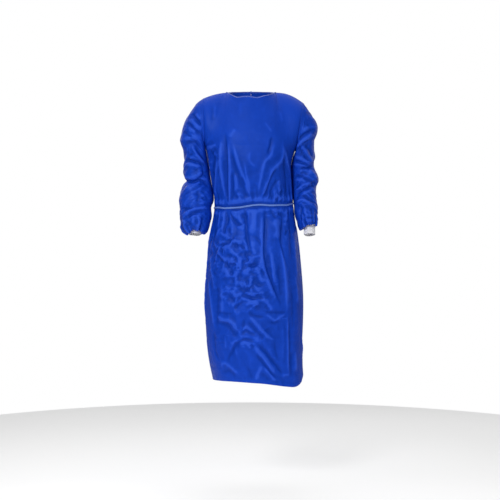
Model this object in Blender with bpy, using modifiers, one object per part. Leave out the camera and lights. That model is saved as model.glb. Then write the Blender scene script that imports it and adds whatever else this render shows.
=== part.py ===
"""Isolation gown in its worn shape: open back, set-in sleeves, knitted cuffs, neck binding and waist belt.

Metres, +Z up, the front faces -Y. The origin is the middle of the shoulder line, where the wearer carries it.
"Left" and "right" are the wearer's, so the left sleeve is at +X.
Section tables are in millimetres, as a cutter would measure the worn garment, and MM turns them into metres.
"""

import math
from collections import namedtuple

import bpy
import numpy as np

MM = 0.001

# Cloth and seams
WALL = 1.5 * MM
SEAM_GAP = 0.4 * MM
SLEEVE_SEAM_GAP = 0.5 * MM
OVERLAP_CLEARANCE = 0.5 * MM
EDGE_GAP = 0.3 * MM

# Body panels
SIDE_ANGLE = 90.0
NECK_POINT_ANGLE = 50.0
BACK_OVERLAP_ANGLE = 25.0
NECK_SLIT_ANGLE = 1.2
YOKE_RISE = 170 * MM
YOKE_REACH = 150 * MM
ARMHOLE_EASE_ANGLE = 55.0
CORNER_EASE_ANGLE = 9.0
SECTION_POWER = 2.2
SHOULDER_COLUMNS = 5
FRONT_NECK_COLUMNS = 28
BACK_NECK_COLUMNS = 12
ARMHOLE_STEPS = 7
ARMPIT_Z = -192 * MM
HEM_Z = -1062 * MM
SHOULDER_SAG = {"right": 4 * MM, "left": 11 * MM}

# The rows under the armpits: the skirt's, from the hem up; the belt's edges with a row over and under them;
# and the bodice's.
SKIRT_ROWS, SKIRT_TOP_Z = 10, -475 * MM
BODICE_ROWS, BODICE_LOW_Z = 5, -365 * MM
BELT_SEAT = 4.5 * MM
BELT_ROWS = (-22 * MM, -BELT_SEAT, BELT_SEAT, 20 * MM)

# Where those rows leave the level and follow the hem, the belt or the armpits.
HEM_EASE_Z = -860 * MM
SKIRT_EASE_Z = (-600 * MM, -470 * MM)
BODICE_EASE_Z = (-360 * MM, -250 * MM)
ARMPIT_EASE_Z = -330 * MM
BELT_LEVEL = -410 * MM
BELT_FOLLOW = 0.7
HEM_DROP, HEM_DROP_ANGLE, HEM_DROP_SPREAD = 24 * MM, 52, 34

# The way in and the way up in which the cloth meets the neck's middle and the shoulder seam, and the angles
# from the middle between which it turns from one to the other.
NECK_RISE = (0.35, 0.9)
SHOULDER_RISE = (1.0, 0.04)
RISE_TURN = (15, 58)

# How far from a side seam, a lap, the belt and the shoulders the folds have faded out.
SEAM_FADE_ANGLES = (4, 22)
LAP_FADE_ANGLES = (20, 6)
BELT_FADE = 26 * MM
SHOULDER_FADE_Z = (-120 * MM, -50 * MM)

# Neck opening, on the seam between cloth and binding
NECK_HALF_WIDTH = 92 * MM
NECK_FRONT_Y = -83 * MM
NECK_BACK_Y = 66 * MM
NECK_FRONT_Z = -8 * MM
NECK_SIDE_Z = 19 * MM
NECK_BACK_Z = 30 * MM
NECK_POWER = 1.3
BINDING_WIDTH = 5 * MM
BINDING_OVERHANG = 0.3 * MM
BINDING_GAP = 0.8 * MM

# Where the front of the neckline sags, by the turn round the neck from its front.
NeckDip = namedtuple("NeckDip", "turn spread depth")
NECK_DIPS = [NeckDip(-35, 13, 6), NeckDip(14, 11, 5)]

# Waist belt
BELT_WIDTH = 8 * MM
BELT_THICKNESS = 1.2 * MM
BELT_KNOT_HALF_ANGLE = 2.8

# Knots behind, and the ends that hang from them
KNOT_STANDOFF = 0.5 * MM
TIE_CLEARANCE = 1.0 * MM

# Cuffs
CUFF_WALL = 1.6 * MM
CUFF_RIBS = 20
CUFF_RIB_HEIGHT = 0.5 * MM

# The sleeves' grid
SLEEVE_COLUMNS = 4 * ARMHOLE_STEPS
GATHERS = 7
GATHER_HEIGHT = 2.2 * MM
GATHER_SHARES = (0.80, 0.93, 0.965)
ARMHOLE_FADE_SHARE = 0.04
INNER_FADE = (0.02, 0.2)

# A knot's half sizes, and its ends: how long they are, and how far apart, as angles round the body.
Tie = namedtuple("Tie", "half_width half_depth half_height left_length right_length top_spread bottom_spread")
BELT_TIE = Tie(8.5, 5, 6.5, 158, 141, 2.2, 6.0)
NECK_TIE = Tie(7.5, 4.5, 6, 92, 80, 3.6, 7.5)

CLOTH_BLUE = (0.017, 0.072, 0.50, 1.0)
TAPE_BLUE = (0.26, 0.38, 0.78, 1.0)
KNIT_WHITE = (0.78, 0.78, 0.82, 1.0)

# The body's level sections from armpit to hem: the two side edges, and how far front and back stand out.
BodySection = namedtuple("BodySection", "z right_edge left_edge front back")
BODY_SECTIONS = [
    BodySection(-192, -172.9, 167.2, -128, 105),
    BodySection(-217, -167.0, 158.5, -132, 105),
    BodySection(-255, -160.4, 151.5, -134, 103),
    BodySection(-293, -154.0, 152.0, -130, 99),
    BodySection(-331, -146.5, 154.0, -123, 93),
    BodySection(-369, -139.0, 156.5, -114, 88),
    BodySection(-410, -138.0, 158.5, -107, 85),
    BodySection(-445, -142.5, 162.5, -112, 92),
    BodySection(-483, -149.5, 168.0, -122, 104),
    BodySection(-540, -158.0, 178.6, -134, 121),
    BodySection(-616, -161.5, 187.3, -143, 133),
    BodySection(-692, -167.0, 193.8, -149, 138),
    BodySection(-768, -171.0, 197.6, -153, 141),
    BodySection(-844, -171.0, 196.5, -154, 141),
    BodySection(-920, -167.2, 193.5, -154, 140),
    BodySection(-980, -161.0, 191.5, -152, 138),
    BodySection(-1030, -150.0, 194.5, -149, 136),
    BodySection(-1062, -139.0, 198.0, -145, 133),
]

# The belt's height round the waist, by the angle from the front's middle.
BeltPoint = namedtuple("BeltPoint", "angle z")
BELT_LINE = [
    BeltPoint(-180, -410),
    BeltPoint(-90, -418),
    BeltPoint(-45, -417),
    BeltPoint(-10, -407),
    BeltPoint(15, -405),
    BeltPoint(40, -406),
    BeltPoint(90, -402),
    BeltPoint(180, -410),
]

# Where the armhole starts and ends on each side: the armpit, and the tip of the shoulder.
Armhole = namedtuple("Armhole", "armpit_x armpit_z tip_x tip_z half_depth")
ARMHOLES = {
    "right": Armhole(-172.9, -186.0, -181.0, -4.0, 66),
    "left": Armhole(167.2, -198.0, 197.6, -21.0, 66),
}

# The sleeves' sections from armhole to cuff. Each is an oval through an outer and an inner point; tip is how
# far its front edge is lifted over its back edge. The last four rows turn up inside, round the cuff.
SleeveSection = namedtuple("SleeveSection", "outer_x outer_z inner_x inner_z half_depth middle_y tip")
RIGHT_SLEEVE = [
    SleeveSection(-199.5, -18, -176.5, -196, 66, 2, 0),
    SleeveSection(-226.0, -52, -175.5, -205, 65, 4, 0),
    SleeveSection(-249.7, -89, -173.5, -214, 64, 6, 0),
    SleeveSection(-262.0, -129, -170.8, -225, 63, 8, 0),
    SleeveSection(-266.0, -163, -168.0, -238, 62, 9, 0),
    SleeveSection(-256.5, -197, -165.0, -253, 60, 10, 0),
    SleeveSection(-254.6, -235, -161.6, -272, 58, 11, 0),
    SleeveSection(-256.5, -270, -158.0, -293, 57, 12, 0),
    SleeveSection(-252.7, -298, -154.6, -313, 54, 12, 0),
    SleeveSection(-244.5, -313, -151.0, -331, 51, 11, 0),
    SleeveSection(-257.0, -333, -147.5, -350, 54, 8, 2),
    SleeveSection(-268.0, -357, -144.0, -369, 58, 4, 4),
    SleeveSection(-271.7, -388, -145.5, -392, 60, -2, 6),
    SleeveSection(-269.8, -422, -152.0, -419, 58, -9, 8),
    SleeveSection(-268.7, -449, -149.5, -450, 60, -15, 10),
    SleeveSection(-263.5, -474, -154.5, -472, 58, -21, 12),
    SleeveSection(-260.3, -497, -160.0, -494, 54, -27, 14),
    SleeveSection(-251.0, -512, -168.0, -511, 46, -31, 15),
    SleeveSection(-240.0, -521, -177.0, -521, 36, -34, 12),
    SleeveSection(-238.6, -516, -182.4, -516, 27, -35.5, 6),
    SleeveSection(-238.0, -500, -182.8, -500, 25.5, -32, 3),
    SleeveSection(-236.4, -478, -184.4, -478, 24.2, -26.2, 0),
]
LEFT_SLEEVE = [
    SleeveSection(207.0, -34, 170.5, -207, 66, 2, 0),
    SleeveSection(221.5, -57, 168.0, -214, 65, 4, 0),
    SleeveSection(238.6, -81, 164.8, -221, 64, 6, 0),
    SleeveSection(250.8, -106, 161.8, -230, 63, 8, 0),
    SleeveSection(248.9, -131, 159.4, -241, 61, 9, 0),
    SleeveSection(238.6, -160, 157.6, -254, 58, 10, 0),
    SleeveSection(238.3, -194, 156.6, -270, 56, 11, 0),
    SleeveSection(244.0, -226, 156.5, -285, 56, 12, 0),
    SleeveSection(237.5, -254, 157.0, -298, 53, 12, 0),
    SleeveSection(245.1, -279, 157.8, -312, 54, 12, 0),
    SleeveSection(255.4, -309, 158.8, -329, 56, 11, 0),
    SleeveSection(245.1, -338, 160.4, -350, 53, 8, 2),
    SleeveSection(245.9, -372, 162.4, -376, 53, 2, 4),
    SleeveSection(248.9, -410, 165.4, -410, 53, -7, 6),
    SleeveSection(250.8, -444, 169.6, -446, 52, -15, 8),
    SleeveSection(251.0, -466, 174.6, -471, 50, -21, 10),
    SleeveSection(250.0, -481, 179.0, -492, 44, -26, 11),
    SleeveSection(247.5, -488, 186.0, -504, 35, -30, 10),
    SleeveSection(247.0, -484, 193.6, -503, 26, -30.5, 6),
    SleeveSection(246.6, -474, 194.0, -490, 24.4, -27.2, 3),
    SleeveSection(245.2, -462, 195.3, -475, 23.6, -23, 0),
]
SLEEVES = {"right": RIGHT_SLEEVE, "left": LEFT_SLEEVE}

# The cuffs: the middles of their two ends, and the oval's half sizes.
Cuff = namedtuple("Cuff", "top_x top_y top_z bottom_x bottom_y bottom_z half_width half_depth")
CUFFS = {
    "right": Cuff(-210.0, -22, -462, -211.7, -37, -519, 23.2, 21.5),
    "left": Cuff(220.2, -20, -457, 220.4, -36, -521, 21.8, 20.5),
}

# Folds of the body as ridges (height over 0) and troughs, each along a straight line of the front view.
Fold = namedtuple("Fold", "x0 z0 x1 z1 width height")
FRONT_FOLDS = [
    Fold(-95, -130, -91, -400, 7, -7),
    Fold(-110, -185, -108, -400, 9, 5),
    Fold(-80, -140, -78, -400, 9, 5),
    Fold(-64, -200, -8, -400, 11, 6),
    Fold(-38, -270, -14, -390, 8, -5),
    Fold(62, -170, 26, -400, 12, 5),
    Fold(86, -180, 54, -380, 12, -5),
    Fold(112, -220, 88, -400, 12, 5),
    Fold(130, -180, 146, -400, 10, -5),
    Fold(-128, -420, -132, -620, 12, 5),
    Fold(-106, -425, -110, -520, 8, -6),
    Fold(-60, -430, -75, -640, 18, 5),
    Fold(-10, -430, -8, -560, 8, -6),
    Fold(28, -425, 30, -620, 20, 7),
    Fold(54, -425, 62, -740, 9, -7),
    Fold(88, -430, 92, -780, 17, 6),
    Fold(122, -430, 138, -760, 9, -5),
    Fold(55, -640, 120, -800, 9, 6),
    Fold(0, -830, 75, -930, 9, 6),
    Fold(-125, -830, -40, -900, 13, 5),
    Fold(2, -940, 128, -1050, 12, 7),
    Fold(-10, -965, 100, -1060, 9, -5),
]
BACK_FOLDS = [
    Fold(-128, -160, -104, -400, 12, 6),
    Fold(-98, -210, -90, -400, 10, -5),
    Fold(124, -170, 112, -400, 12, 6),
    Fold(98, -230, 96, -400, 10, -5),
    Fold(-108, -425, -116, -860, 12, -7),
    Fold(-132, -430, -140, -760, 12, 6),
    Fold(108, -430, 128, -800, 12, -7),
    Fold(136, -430, 150, -900, 12, 6),
]

# Folds of the sleeves: a ridge or trough round part of the tube, by the share of the sleeve's length and the
# angle round it (0 under the arm, 90 in front, 180 outside, 270 behind).
SleeveFold = namedtuple("SleeveFold", "along0 angle0 along1 angle1 width height")
RIGHT_SLEEVE_FOLDS = [
    SleeveFold(0.03, 100, 0.17, 150, 0.022, -5),
    SleeveFold(0.05, 75, 0.22, 140, 0.020, 4),
    SleeveFold(0.10, 55, 0.28, 125, 0.022, -5),
    SleeveFold(0.22, 60, 0.36, 130, 0.022, 4),
    SleeveFold(0.47, 20, 0.44, 200, 0.022, -6),
    SleeveFold(0.60, 40, 0.66, 190, 0.022, -5),
    SleeveFold(0.64, 60, 0.58, 150, 0.020, 4),
    SleeveFold(0.12, 300, 0.28, 220, 0.024, 5),
    SleeveFold(0.44, 200, 0.48, 330, 0.024, -5),
    SleeveFold(0.62, 210, 0.56, 320, 0.024, 4),
]
LEFT_SLEEVE_FOLDS = [
    SleeveFold(0.22, 40, 0.17, 165, 0.022, -6),
    SleeveFold(0.27, 45, 0.24, 150, 0.020, 4),
    SleeveFold(0.36, 40, 0.40, 170, 0.022, -5),
    SleeveFold(0.47, 50, 0.50, 170, 0.020, 4),
    SleeveFold(0.54, 40, 0.49, 160, 0.020, -5),
    SleeveFold(0.60, 60, 0.64, 170, 0.022, 4),
    SleeveFold(0.18, 210, 0.26, 320, 0.024, -5),
    SleeveFold(0.40, 210, 0.44, 320, 0.024, -5),
    SleeveFold(0.56, 220, 0.60, 320, 0.024, 4),
]
SLEEVE_FOLDS = {"right": RIGHT_SLEEVE_FOLDS, "left": LEFT_SLEEVE_FOLDS}


def curve_through(knots, values, at):
    """Cubic Hermite curve through the values at rising knots, its slopes taken from the neighbours."""
    knots, values = np.asarray(knots, float), np.asarray(values, float)
    slopes = np.gradient(values, knots, axis=0)
    at = np.clip(at, knots[0], knots[-1])
    i = np.clip(np.searchsorted(knots, at, side="right") - 1, 0, len(knots) - 2)
    span = knots[i + 1] - knots[i]
    u = (at - knots[i]) / span
    if values.ndim > 1:
        u, span = u[..., None], span[..., None]
    return (
        (2 * u**3 - 3 * u**2 + 1) * values[i]
        + (u**3 - 2 * u**2 + u) * span * slopes[i]
        + (3 * u**2 - 2 * u**3) * values[i + 1]
        + (u**3 - u**2) * span * slopes[i + 1]
    )


def unit(vectors):
    """The vectors at length 1."""
    return vectors / np.maximum(np.linalg.norm(vectors, axis=-1, keepdims=True), 1e-12)


def smooth(x, low, high):
    """0 at low and 1 at high, with level ends."""
    u = np.clip((x - low) / (high - low), 0, 1)
    return u * u * (3 - 2 * u)


def body_size(column, z):
    """One column of the body's section table at the heights z, in metres."""
    heights = [s.z * MM for s in reversed(BODY_SECTIONS)]
    sizes = [getattr(s, column) * MM for s in reversed(BODY_SECTIONS)]
    return curve_through(heights, sizes, z)


def belt_height(angle):
    """The belt's middle line at an angle from the front's middle, in degrees."""
    turned = (np.asarray(angle, float) + 180) % 360 - 180
    return curve_through([p.angle for p in BELT_LINE], [p.z * MM for p in BELT_LINE], turned)


def signed_power(value, power):
    """The size of the value to a power, with the value's own sign."""
    return np.sign(value) * np.abs(value) ** power


def body_ring(angle, z):
    """Points of the level section at z: a superellipse with its own front and back depth."""
    right, left = body_size("right_edge", z), body_size("left_edge", z)
    depth = np.where(np.cos(np.radians(angle)) > 0, -body_size("front", z), body_size("back", z))
    across = signed_power(np.sin(np.radians(angle)), 2 / SECTION_POWER)
    along = signed_power(np.cos(np.radians(angle)), 2 / SECTION_POWER)
    return np.stack([(left + right) / 2 + (left - right) / 2 * across, -depth * along, z], axis=-1)


def armhole_point(side, turn):
    """The armhole's oval: turn 0 at the armpit, 90 in front, 180 at the shoulder tip, 270 behind."""
    hole = ARMHOLES[side]
    u = (1 - np.cos(np.radians(turn))) / 2
    x = hole.armpit_x + (hole.tip_x - hole.armpit_x) * u
    z = hole.armpit_z + (hole.tip_z - hole.armpit_z) * u
    y = -hole.half_depth * np.sin(np.radians(turn))
    return np.stack([x, y, z], axis=-1) * MM


def neck_point(turn):
    """The neck seam: turn 0 at the front's middle, 90 at the left neck point, 180 at the back's middle."""
    c, s = np.cos(np.radians(turn)), np.sin(np.radians(turn))
    y = np.where(c > 0, NECK_FRONT_Y, -NECK_BACK_Y) * c
    middle_z = np.where(c > 0, NECK_FRONT_Z, NECK_BACK_Z)
    z = NECK_SIDE_Z + (middle_z - NECK_SIDE_Z) * np.abs(c) ** NECK_POWER
    for dip in NECK_DIPS:
        z = z - dip.depth * MM * np.exp(-(((turn - dip.turn) / dip.spread) ** 2))
    return np.stack([NECK_HALF_WIDTH * s, y, z], axis=-1)


def top_edge(angle):
    """The body's top edge: shoulder seams from the tips to the neck points, and the neck seam between
    them."""
    angle = np.asarray(angle, float)
    size = np.abs(angle)
    sign = np.where(angle < 0, -1.0, 1.0)
    front_turn = size / NECK_POINT_ANGLE * 90
    back_turn = 90 + (size - (180 - NECK_POINT_ANGLE)) / NECK_POINT_ANGLE * 90
    neck = neck_point(sign * np.where(size < SIDE_ANGLE, front_turn, back_turn))
    from_middle = SIDE_ANGLE - np.abs(size - SIDE_ANGLE)
    share = np.clip((from_middle - NECK_POINT_ANGLE) / (SIDE_ANGLE - NECK_POINT_ANGLE), 0, 1)
    seam = np.zeros(angle.shape + (3,))
    for side, way in (("right", -1.0), ("left", 1.0)):
        tip, end = armhole_point(side, np.array(180.0)), neck_point(np.array(90.0 * way))
        line = end + (tip - end) * share[..., None]
        line[..., 2] += SHOULDER_SAG[side] * np.sin(math.pi * share)
        seam = np.where((sign == way)[..., None], line, seam)
    return np.where((share > 0)[..., None], seam, neck)


def rise_direction(angle, front):
    """The way the cloth runs where it reaches the top edge: level over the shoulders, steep at the neck."""
    size = np.abs(angle)
    from_middle = np.minimum(size, np.abs(180 - size))
    level = smooth(from_middle, *RISE_TURN)
    inward, upward = (a + (b - a) * level for a, b in zip(NECK_RISE, SHOULDER_RISE))
    return unit(np.stack([0 * size, inward if front else -inward, upward], axis=-1))


def eased_top(angle, share, front):
    """The top edge and the way the cloth reaches it, averaged over more of the edge the lower a point is, so
    that the corner at the neck point fades out below it."""
    low, high = (-SIDE_ANGLE, SIDE_ANGLE) if front else (SIDE_ANGLE, 360 - SIDE_ANGLE)
    turned = angle if front else np.asarray(angle) % 360
    edge, way = 0, 0
    for step in (-2, -1, 0, 1, 2):
        near = np.clip(turned + step * CORNER_EASE_ANGLE * (1 - share), low, high)
        near = np.where(near > 180, near - 360, near)
        edge = edge + top_edge(near) / 5
        way = way + rise_direction(near, front) / 5
    return edge, way


def armpit_ring(angle):
    """The section through both armpits, which tilts a little from one to the other."""
    angle = np.asarray(angle, float)
    ring = body_ring(angle, np.full(angle.shape, ARMPIT_Z))
    tilt = (ARMHOLES["left"].armpit_z - ARMHOLES["right"].armpit_z) / 2 * MM
    ring[..., 2] += tilt * np.sin(np.radians(angle))
    return ring


def hermite(low, high, way_low, way_high, share):
    """The cubic from low to high that sets off along way_low and arrives along way_high."""
    u = share[..., None]
    return (
        (2 * u**3 - 3 * u**2 + 1) * low
        + (u**3 - 2 * u**2 + u) * way_low
        + (3 * u**2 - 2 * u**3) * high
        + (u**3 - u**2) * way_high
    )


def yoke_point(angle, share, front):
    """The front or the back over the armpits: a loft from the armpit section (share 0) to the top edge (share
    1), eased at its sides onto the armhole."""
    way_up = np.array([0, 0, YOKE_RISE])
    top, reach = eased_top(angle, share, front)
    point = hermite(armpit_ring(angle), top, way_up, YOKE_REACH * reach, share)
    near = 1 - smooth(np.abs(np.abs(angle) - SIDE_ANGLE), 0, ARMHOLE_EASE_ANGLE)
    for side, way in (("right", -1.0), ("left", 1.0)):
        side_angle = np.full(share.shape, way * SIDE_ANGLE)
        top, reach = eased_top(side_angle, share, front)
        lofted = hermite(armpit_ring(side_angle), top, way_up, YOKE_REACH * reach, share)
        pull = armhole_point(side, 180 * share if front else 360 - 180 * share) - lofted
        point = point + np.where(np.sign(angle) == way, near, 0)[..., None] * pull
    return point


def hem_drop(angle):
    """How far the hem hangs under its level: lowest at the front's left."""
    return HEM_DROP * np.exp(-(((angle - HEM_DROP_ANGLE) / HEM_DROP_SPREAD) ** 2))


def panel_grid(angles_of, front):
    """Rows from hem to top edge of a body panel. angles_of(share) gives a row's angles, share being 0 under
    the armpits and 1 at the top edge."""
    under = angles_of(0.0)
    belt = belt_height(under)
    follow = (belt - BELT_LEVEL) * BELT_FOLLOW
    rows = []
    for z in np.linspace(HEM_Z, SKIRT_TOP_Z, SKIRT_ROWS):
        drop = hem_drop(under) * smooth(z, HEM_EASE_Z, HEM_Z)
        rows.append(body_ring(under, z - drop + follow * smooth(z, *SKIRT_EASE_Z)))
    for offset in BELT_ROWS:
        on_belt = abs(offset) <= BELT_SEAT
        row = body_ring(under, belt if on_belt else belt + offset)
        row[:, 2] = belt + offset
        rows.append(row)
    tilt = armpit_ring(under)[:, 2] - ARMPIT_Z
    for z in np.linspace(BODICE_LOW_Z, ARMPIT_Z, BODICE_ROWS):
        row = body_ring(under, np.full(under.shape, z))
        row[:, 2] += tilt * smooth(z, ARMPIT_EASE_Z, ARMPIT_Z) + follow * (1 - smooth(z, *BODICE_EASE_Z))
        rows.append(row)
    for step in range(1, ARMHOLE_STEPS + 1):
        share = step / ARMHOLE_STEPS
        angles = angles_of(share)
        rows.append(yoke_point(angles, np.full(angles.shape, share), front))
    return np.array(rows)


def grid_normals(grid, closed=False):
    """Unit normals of a grid of rows and columns, pointing out for columns that run to the wearer's left in
    front."""
    if closed:
        across = np.roll(grid, -1, axis=1) - np.roll(grid, 1, axis=1)
    else:
        across = np.gradient(grid, axis=1)
    return unit(np.cross(across, np.gradient(grid, axis=0)))


def fold_height(x, z, folds):
    """The sum of the folds at points of the front view: each a bell across its line, fading at both ends."""
    total = np.zeros(x.shape)
    for fold in folds:
        x0, z0, x1, z1 = (v * MM for v in fold[:4])
        length = math.hypot(x1 - x0, z1 - z0)
        along = ((x - x0) * (x1 - x0) + (z - z0) * (z1 - z0)) / length**2
        away = ((x - x0) * (z1 - z0) - (z - z0) * (x1 - x0)) / length
        ends = smooth(along, -0.05, 0.25) * (1 - smooth(along, 0.75, 1.05))
        total += fold.height * MM * ends * np.exp(-((away / (fold.width * MM)) ** 2))
    return total


def body_fold_fade(grid, angles):
    """1 on open cloth, and 0 at the side seams, the shoulders and the lap behind, and under the belt."""
    size = np.abs(angles)
    from_side = smooth(np.abs(size - SIDE_ANGLE), *SEAM_FADE_ANGLES)
    lap = 180 - BACK_OVERLAP_ANGLE
    from_lap = 1 - smooth(size, *(lap - angle for angle in LAP_FADE_ANGLES))
    from_belt = 1 - np.exp(-(((grid[..., 2] - belt_height(angles)) / BELT_FADE) ** 4))
    return from_side * from_lap * from_belt * (1 - smooth(grid[..., 2], *SHOULDER_FADE_Z))


def front_angles():
    """The front's columns, from its right side seam to its left one."""
    edge = np.linspace(-SIDE_ANGLE, -NECK_POINT_ANGLE, SHOULDER_COLUMNS + 1)[:-1]
    middle = np.linspace(-NECK_POINT_ANGLE, NECK_POINT_ANGLE, FRONT_NECK_COLUMNS + 1)
    return np.concatenate([edge, middle, -edge[::-1]])


def back_angles(share):
    """From the side seam to the free edge, which overlaps the other panel but for the neck, where it is
    tied."""
    shoulder = np.linspace(SIDE_ANGLE, 180 - NECK_POINT_ANGLE, SHOULDER_COLUMNS + 1)[:-1]
    parted = smooth(share, 0.1, 1 - 1 / ARMHOLE_STEPS)
    free_edge = 180 + BACK_OVERLAP_ANGLE - (BACK_OVERLAP_ANGLE + NECK_SLIT_ANGLE) * parted
    return np.concatenate([shoulder, np.linspace(180 - NECK_POINT_ANGLE, free_edge, BACK_NECK_COLUMNS + 1)])


def front_grid():
    """The front panel, its columns running from the right side seam to the left one."""
    grid = panel_grid(lambda share: front_angles(), True)
    height = fold_height(grid[..., 0], grid[..., 2], FRONT_FOLDS) * body_fold_fade(grid, front_angles())
    grid = grid + grid_normals(grid) * height[..., None]
    return grid - [0, SEAM_GAP / 2, 0]


def back_grid(side):
    """A back panel, its columns running from the side seam to the free edge on the left, and the other way on
    the right. The right panel passes under the left one, so it is set in there."""
    way = 1.0 if side == "left" else -1.0
    grid = panel_grid(lambda share: way * back_angles(share), False)
    if way < 0:
        grid = grid[:, ::-1]
    under = back_angles(0.0)[::-1] if way < 0 else back_angles(0.0)
    height = fold_height(grid[..., 0], grid[..., 2], BACK_FOLDS) * body_fold_fade(grid, way * under)
    if side == "right":
        depth = np.array([1.0 if share < 1 else 0.0 for share in row_shares()])[:, None]
        lapped = smooth(under, 180 - BACK_OVERLAP_ANGLE - 16, 180 - BACK_OVERLAP_ANGLE)[None, :]
        height = height - (WALL + OVERLAP_CLEARANCE) * lapped * depth
    grid = grid + grid_normals(grid) * height[..., None]
    return grid + [0, SEAM_GAP / 2, 0]


def row_shares():
    """Each body row's share of the way from armpit to top edge, 0 for the rows under the armpits."""
    rows_under = SKIRT_ROWS + len(BELT_ROWS) + BODICE_ROWS
    return [0.0] * rows_under + [step / ARMHOLE_STEPS for step in range(1, ARMHOLE_STEPS + 1)]


def add_object(name, mesh, material, collection):
    """A smooth-shaded object of the mesh, in the collection."""
    mesh.materials.append(material)
    mesh.shade_smooth()
    obj = bpy.data.objects.new(name, mesh)
    collection.objects.link(obj)
    return obj


def grid_faces(rows, columns, closed):
    """Quads of a grid, facing out for columns that run anticlockwise seen from above and rows that rise."""
    corners = np.arange(rows * columns).reshape(rows, columns)
    if closed:
        corners = np.concatenate([corners, corners[:, :1]], axis=1)
    low, high = corners[:-1], corners[1:]
    return np.stack([low[:, :-1], low[:, 1:], high[:, 1:], high[:, :-1]], axis=-1).reshape(-1, 4).tolist()


def cloth(name, grid, material, collection, closed=False):
    """A cloth wall: the grid is its inner face, and Solidify gives it its thickness outwards."""
    rows, columns = grid.shape[:2]
    mesh = bpy.data.meshes.new(name)
    mesh.from_pydata(grid.reshape(-1, 3).tolist(), [], grid_faces(rows, columns, closed))
    obj = add_object(name, mesh, material, collection)
    wall = obj.modifiers.new("wall", "SOLIDIFY")
    wall.thickness = WALL
    wall.offset = 1
    return obj


def swept(name, rings, material, collection, closed=False):
    """A solid through rings of points; open sweeps get flat ends."""
    count, sides = rings.shape[:2]
    faces = grid_faces(count, sides, True)
    if closed:
        first, last = np.arange(sides), np.arange(sides) + (count - 1) * sides
        joint = np.stack([last, np.roll(last, -1), np.roll(first, -1), first], axis=-1)
        faces += joint.tolist()
    else:
        faces.append(list(reversed(range(sides))))
        faces.append(list(range((count - 1) * sides, count * sides)))
    mesh = bpy.data.meshes.new(name)
    mesh.from_pydata(rings.reshape(-1, 3).tolist(), [], faces)
    return add_object(name, mesh, material, collection)


def sleeve_rings(side):
    """The sleeve's table with the armhole as its first row, as arrays, and each row's share of the length."""
    hole = ARMHOLES[side]
    first = SleeveSection(hole.tip_x, hole.tip_z, hole.armpit_x, hole.armpit_z, hole.half_depth, 0, 0)
    table = np.array([first] + SLEEVES[side], float) * MM
    middles = (table[:, 0:2] + table[:, 2:4]) / 2
    lengths = np.concatenate([[0], np.cumsum(np.linalg.norm(np.diff(middles, axis=0), axis=1))])
    return table, lengths / lengths[-1]


def sleeve_point(table, turn):
    """Points round each section of a sleeve: turn 0 at the inner point, 90 in front, 180 at the outer
    point."""
    outer_x, outer_z, inner_x, inner_z, depth, middle_y, tip = (table[:, k, None] for k in range(7))
    c, s = np.cos(np.radians(turn))[None, :], np.sin(np.radians(turn))[None, :]
    u = (1 - signed_power(c, 2 / SECTION_POWER)) / 2
    s = signed_power(s, 2 / SECTION_POWER)
    x = inner_x + (outer_x - inner_x) * u
    z = inner_z + (outer_z - inner_z) * u + tip * s
    return np.stack([x, middle_y - depth * s, z], axis=-1)


def sleeve_fold_height(along, turn, folds):
    """The folds of a sleeve on the grid of shares along it and angles round it."""
    total = np.zeros((len(along), len(turn)))
    for fold in folds:
        u = (turn[None, :] - fold.angle0) / (fold.angle1 - fold.angle0)
        line = fold.along0 + (fold.along1 - fold.along0) * u
        ends = smooth(u, -0.1, 0.25) * (1 - smooth(u, 0.75, 1.1))
        total += fold.height * MM * ends * np.exp(-(((along[:, None] - line) / fold.width) ** 2))
    return total


def round_armhole(turn, front_edge, back_edge):
    """Values on the panels' side columns, read round the armhole: up the front from the armpit and down the
    back."""
    first = -ARMHOLE_STEPS - 1
    front_hole, back_hole = front_edge[first:], back_edge[first:]
    armpit, tip = (front_hole[0] + back_hole[0]) / 2, (front_hole[-1] + back_hole[-1]) / 2
    loop = np.concatenate([[armpit], front_hole[1:-1], [tip], back_hole[-2:0:-1], [armpit]])
    knots = np.linspace(0, 360, 2 * ARMHOLE_STEPS + 1)
    return np.stack([np.interp(turn, knots, loop[:, axis]) for axis in range(3)], axis=-1)


def sleeve_grid(side, front, back):
    """The sleeve from armhole to cuff. Its first row follows the armhole edges of the two panels, moved out
    until both walls are clear of each other."""
    way = -1.0 if side == "right" else 1.0
    edge = 0 if side == "right" else -1
    back_edge = -1 - edge
    table, along = sleeve_rings(side)
    turn = np.arange(SLEEVE_COLUMNS) * 360 / SLEEVE_COLUMNS
    grid = sleeve_point(table, turn)
    grid[0] = round_armhole(turn, front[:, edge], back[:, back_edge])
    panel_out = round_armhole(turn, grid_normals(front)[:, edge], grid_normals(back)[:, back_edge])
    height = sleeve_fold_height(along, turn, SLEEVE_FOLDS[side])
    start, full, end = GATHER_SHARES
    waves = smooth(along, start, full) * (1 - smooth(along, full, end))
    height = height + GATHER_HEIGHT * np.cos(np.radians(GATHERS * turn))[None, :] * waves[:, None]
    off_body = smooth((1 - np.cos(np.radians(turn))) / 2, *INNER_FADE)
    height = height * off_body[None, :] * smooth(along, 0.0, ARMHOLE_FADE_SHARE)[:, None]
    out = -way * grid_normals(grid, closed=True)
    grid = grid + out * height[..., None]
    sleeve_wall = np.maximum(-way * out[0, :, 0], 0)
    panel_wall = np.maximum(way * panel_out[:, 0], 0)
    grid[0, :, 0] += way * (SLEEVE_SEAM_GAP + WALL * (sleeve_wall + panel_wall))
    return grid


def sleeve(side, front, back, material, collection):
    """A sleeve's wall, its rows turned to rise and its columns to run anticlockwise."""
    grid = sleeve_grid(side, front, back)
    rising = grid[::-1] if side == "left" else grid[::-1, ::-1]
    cloth("sleeve_" + side, rising, material, collection, closed=True)


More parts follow.
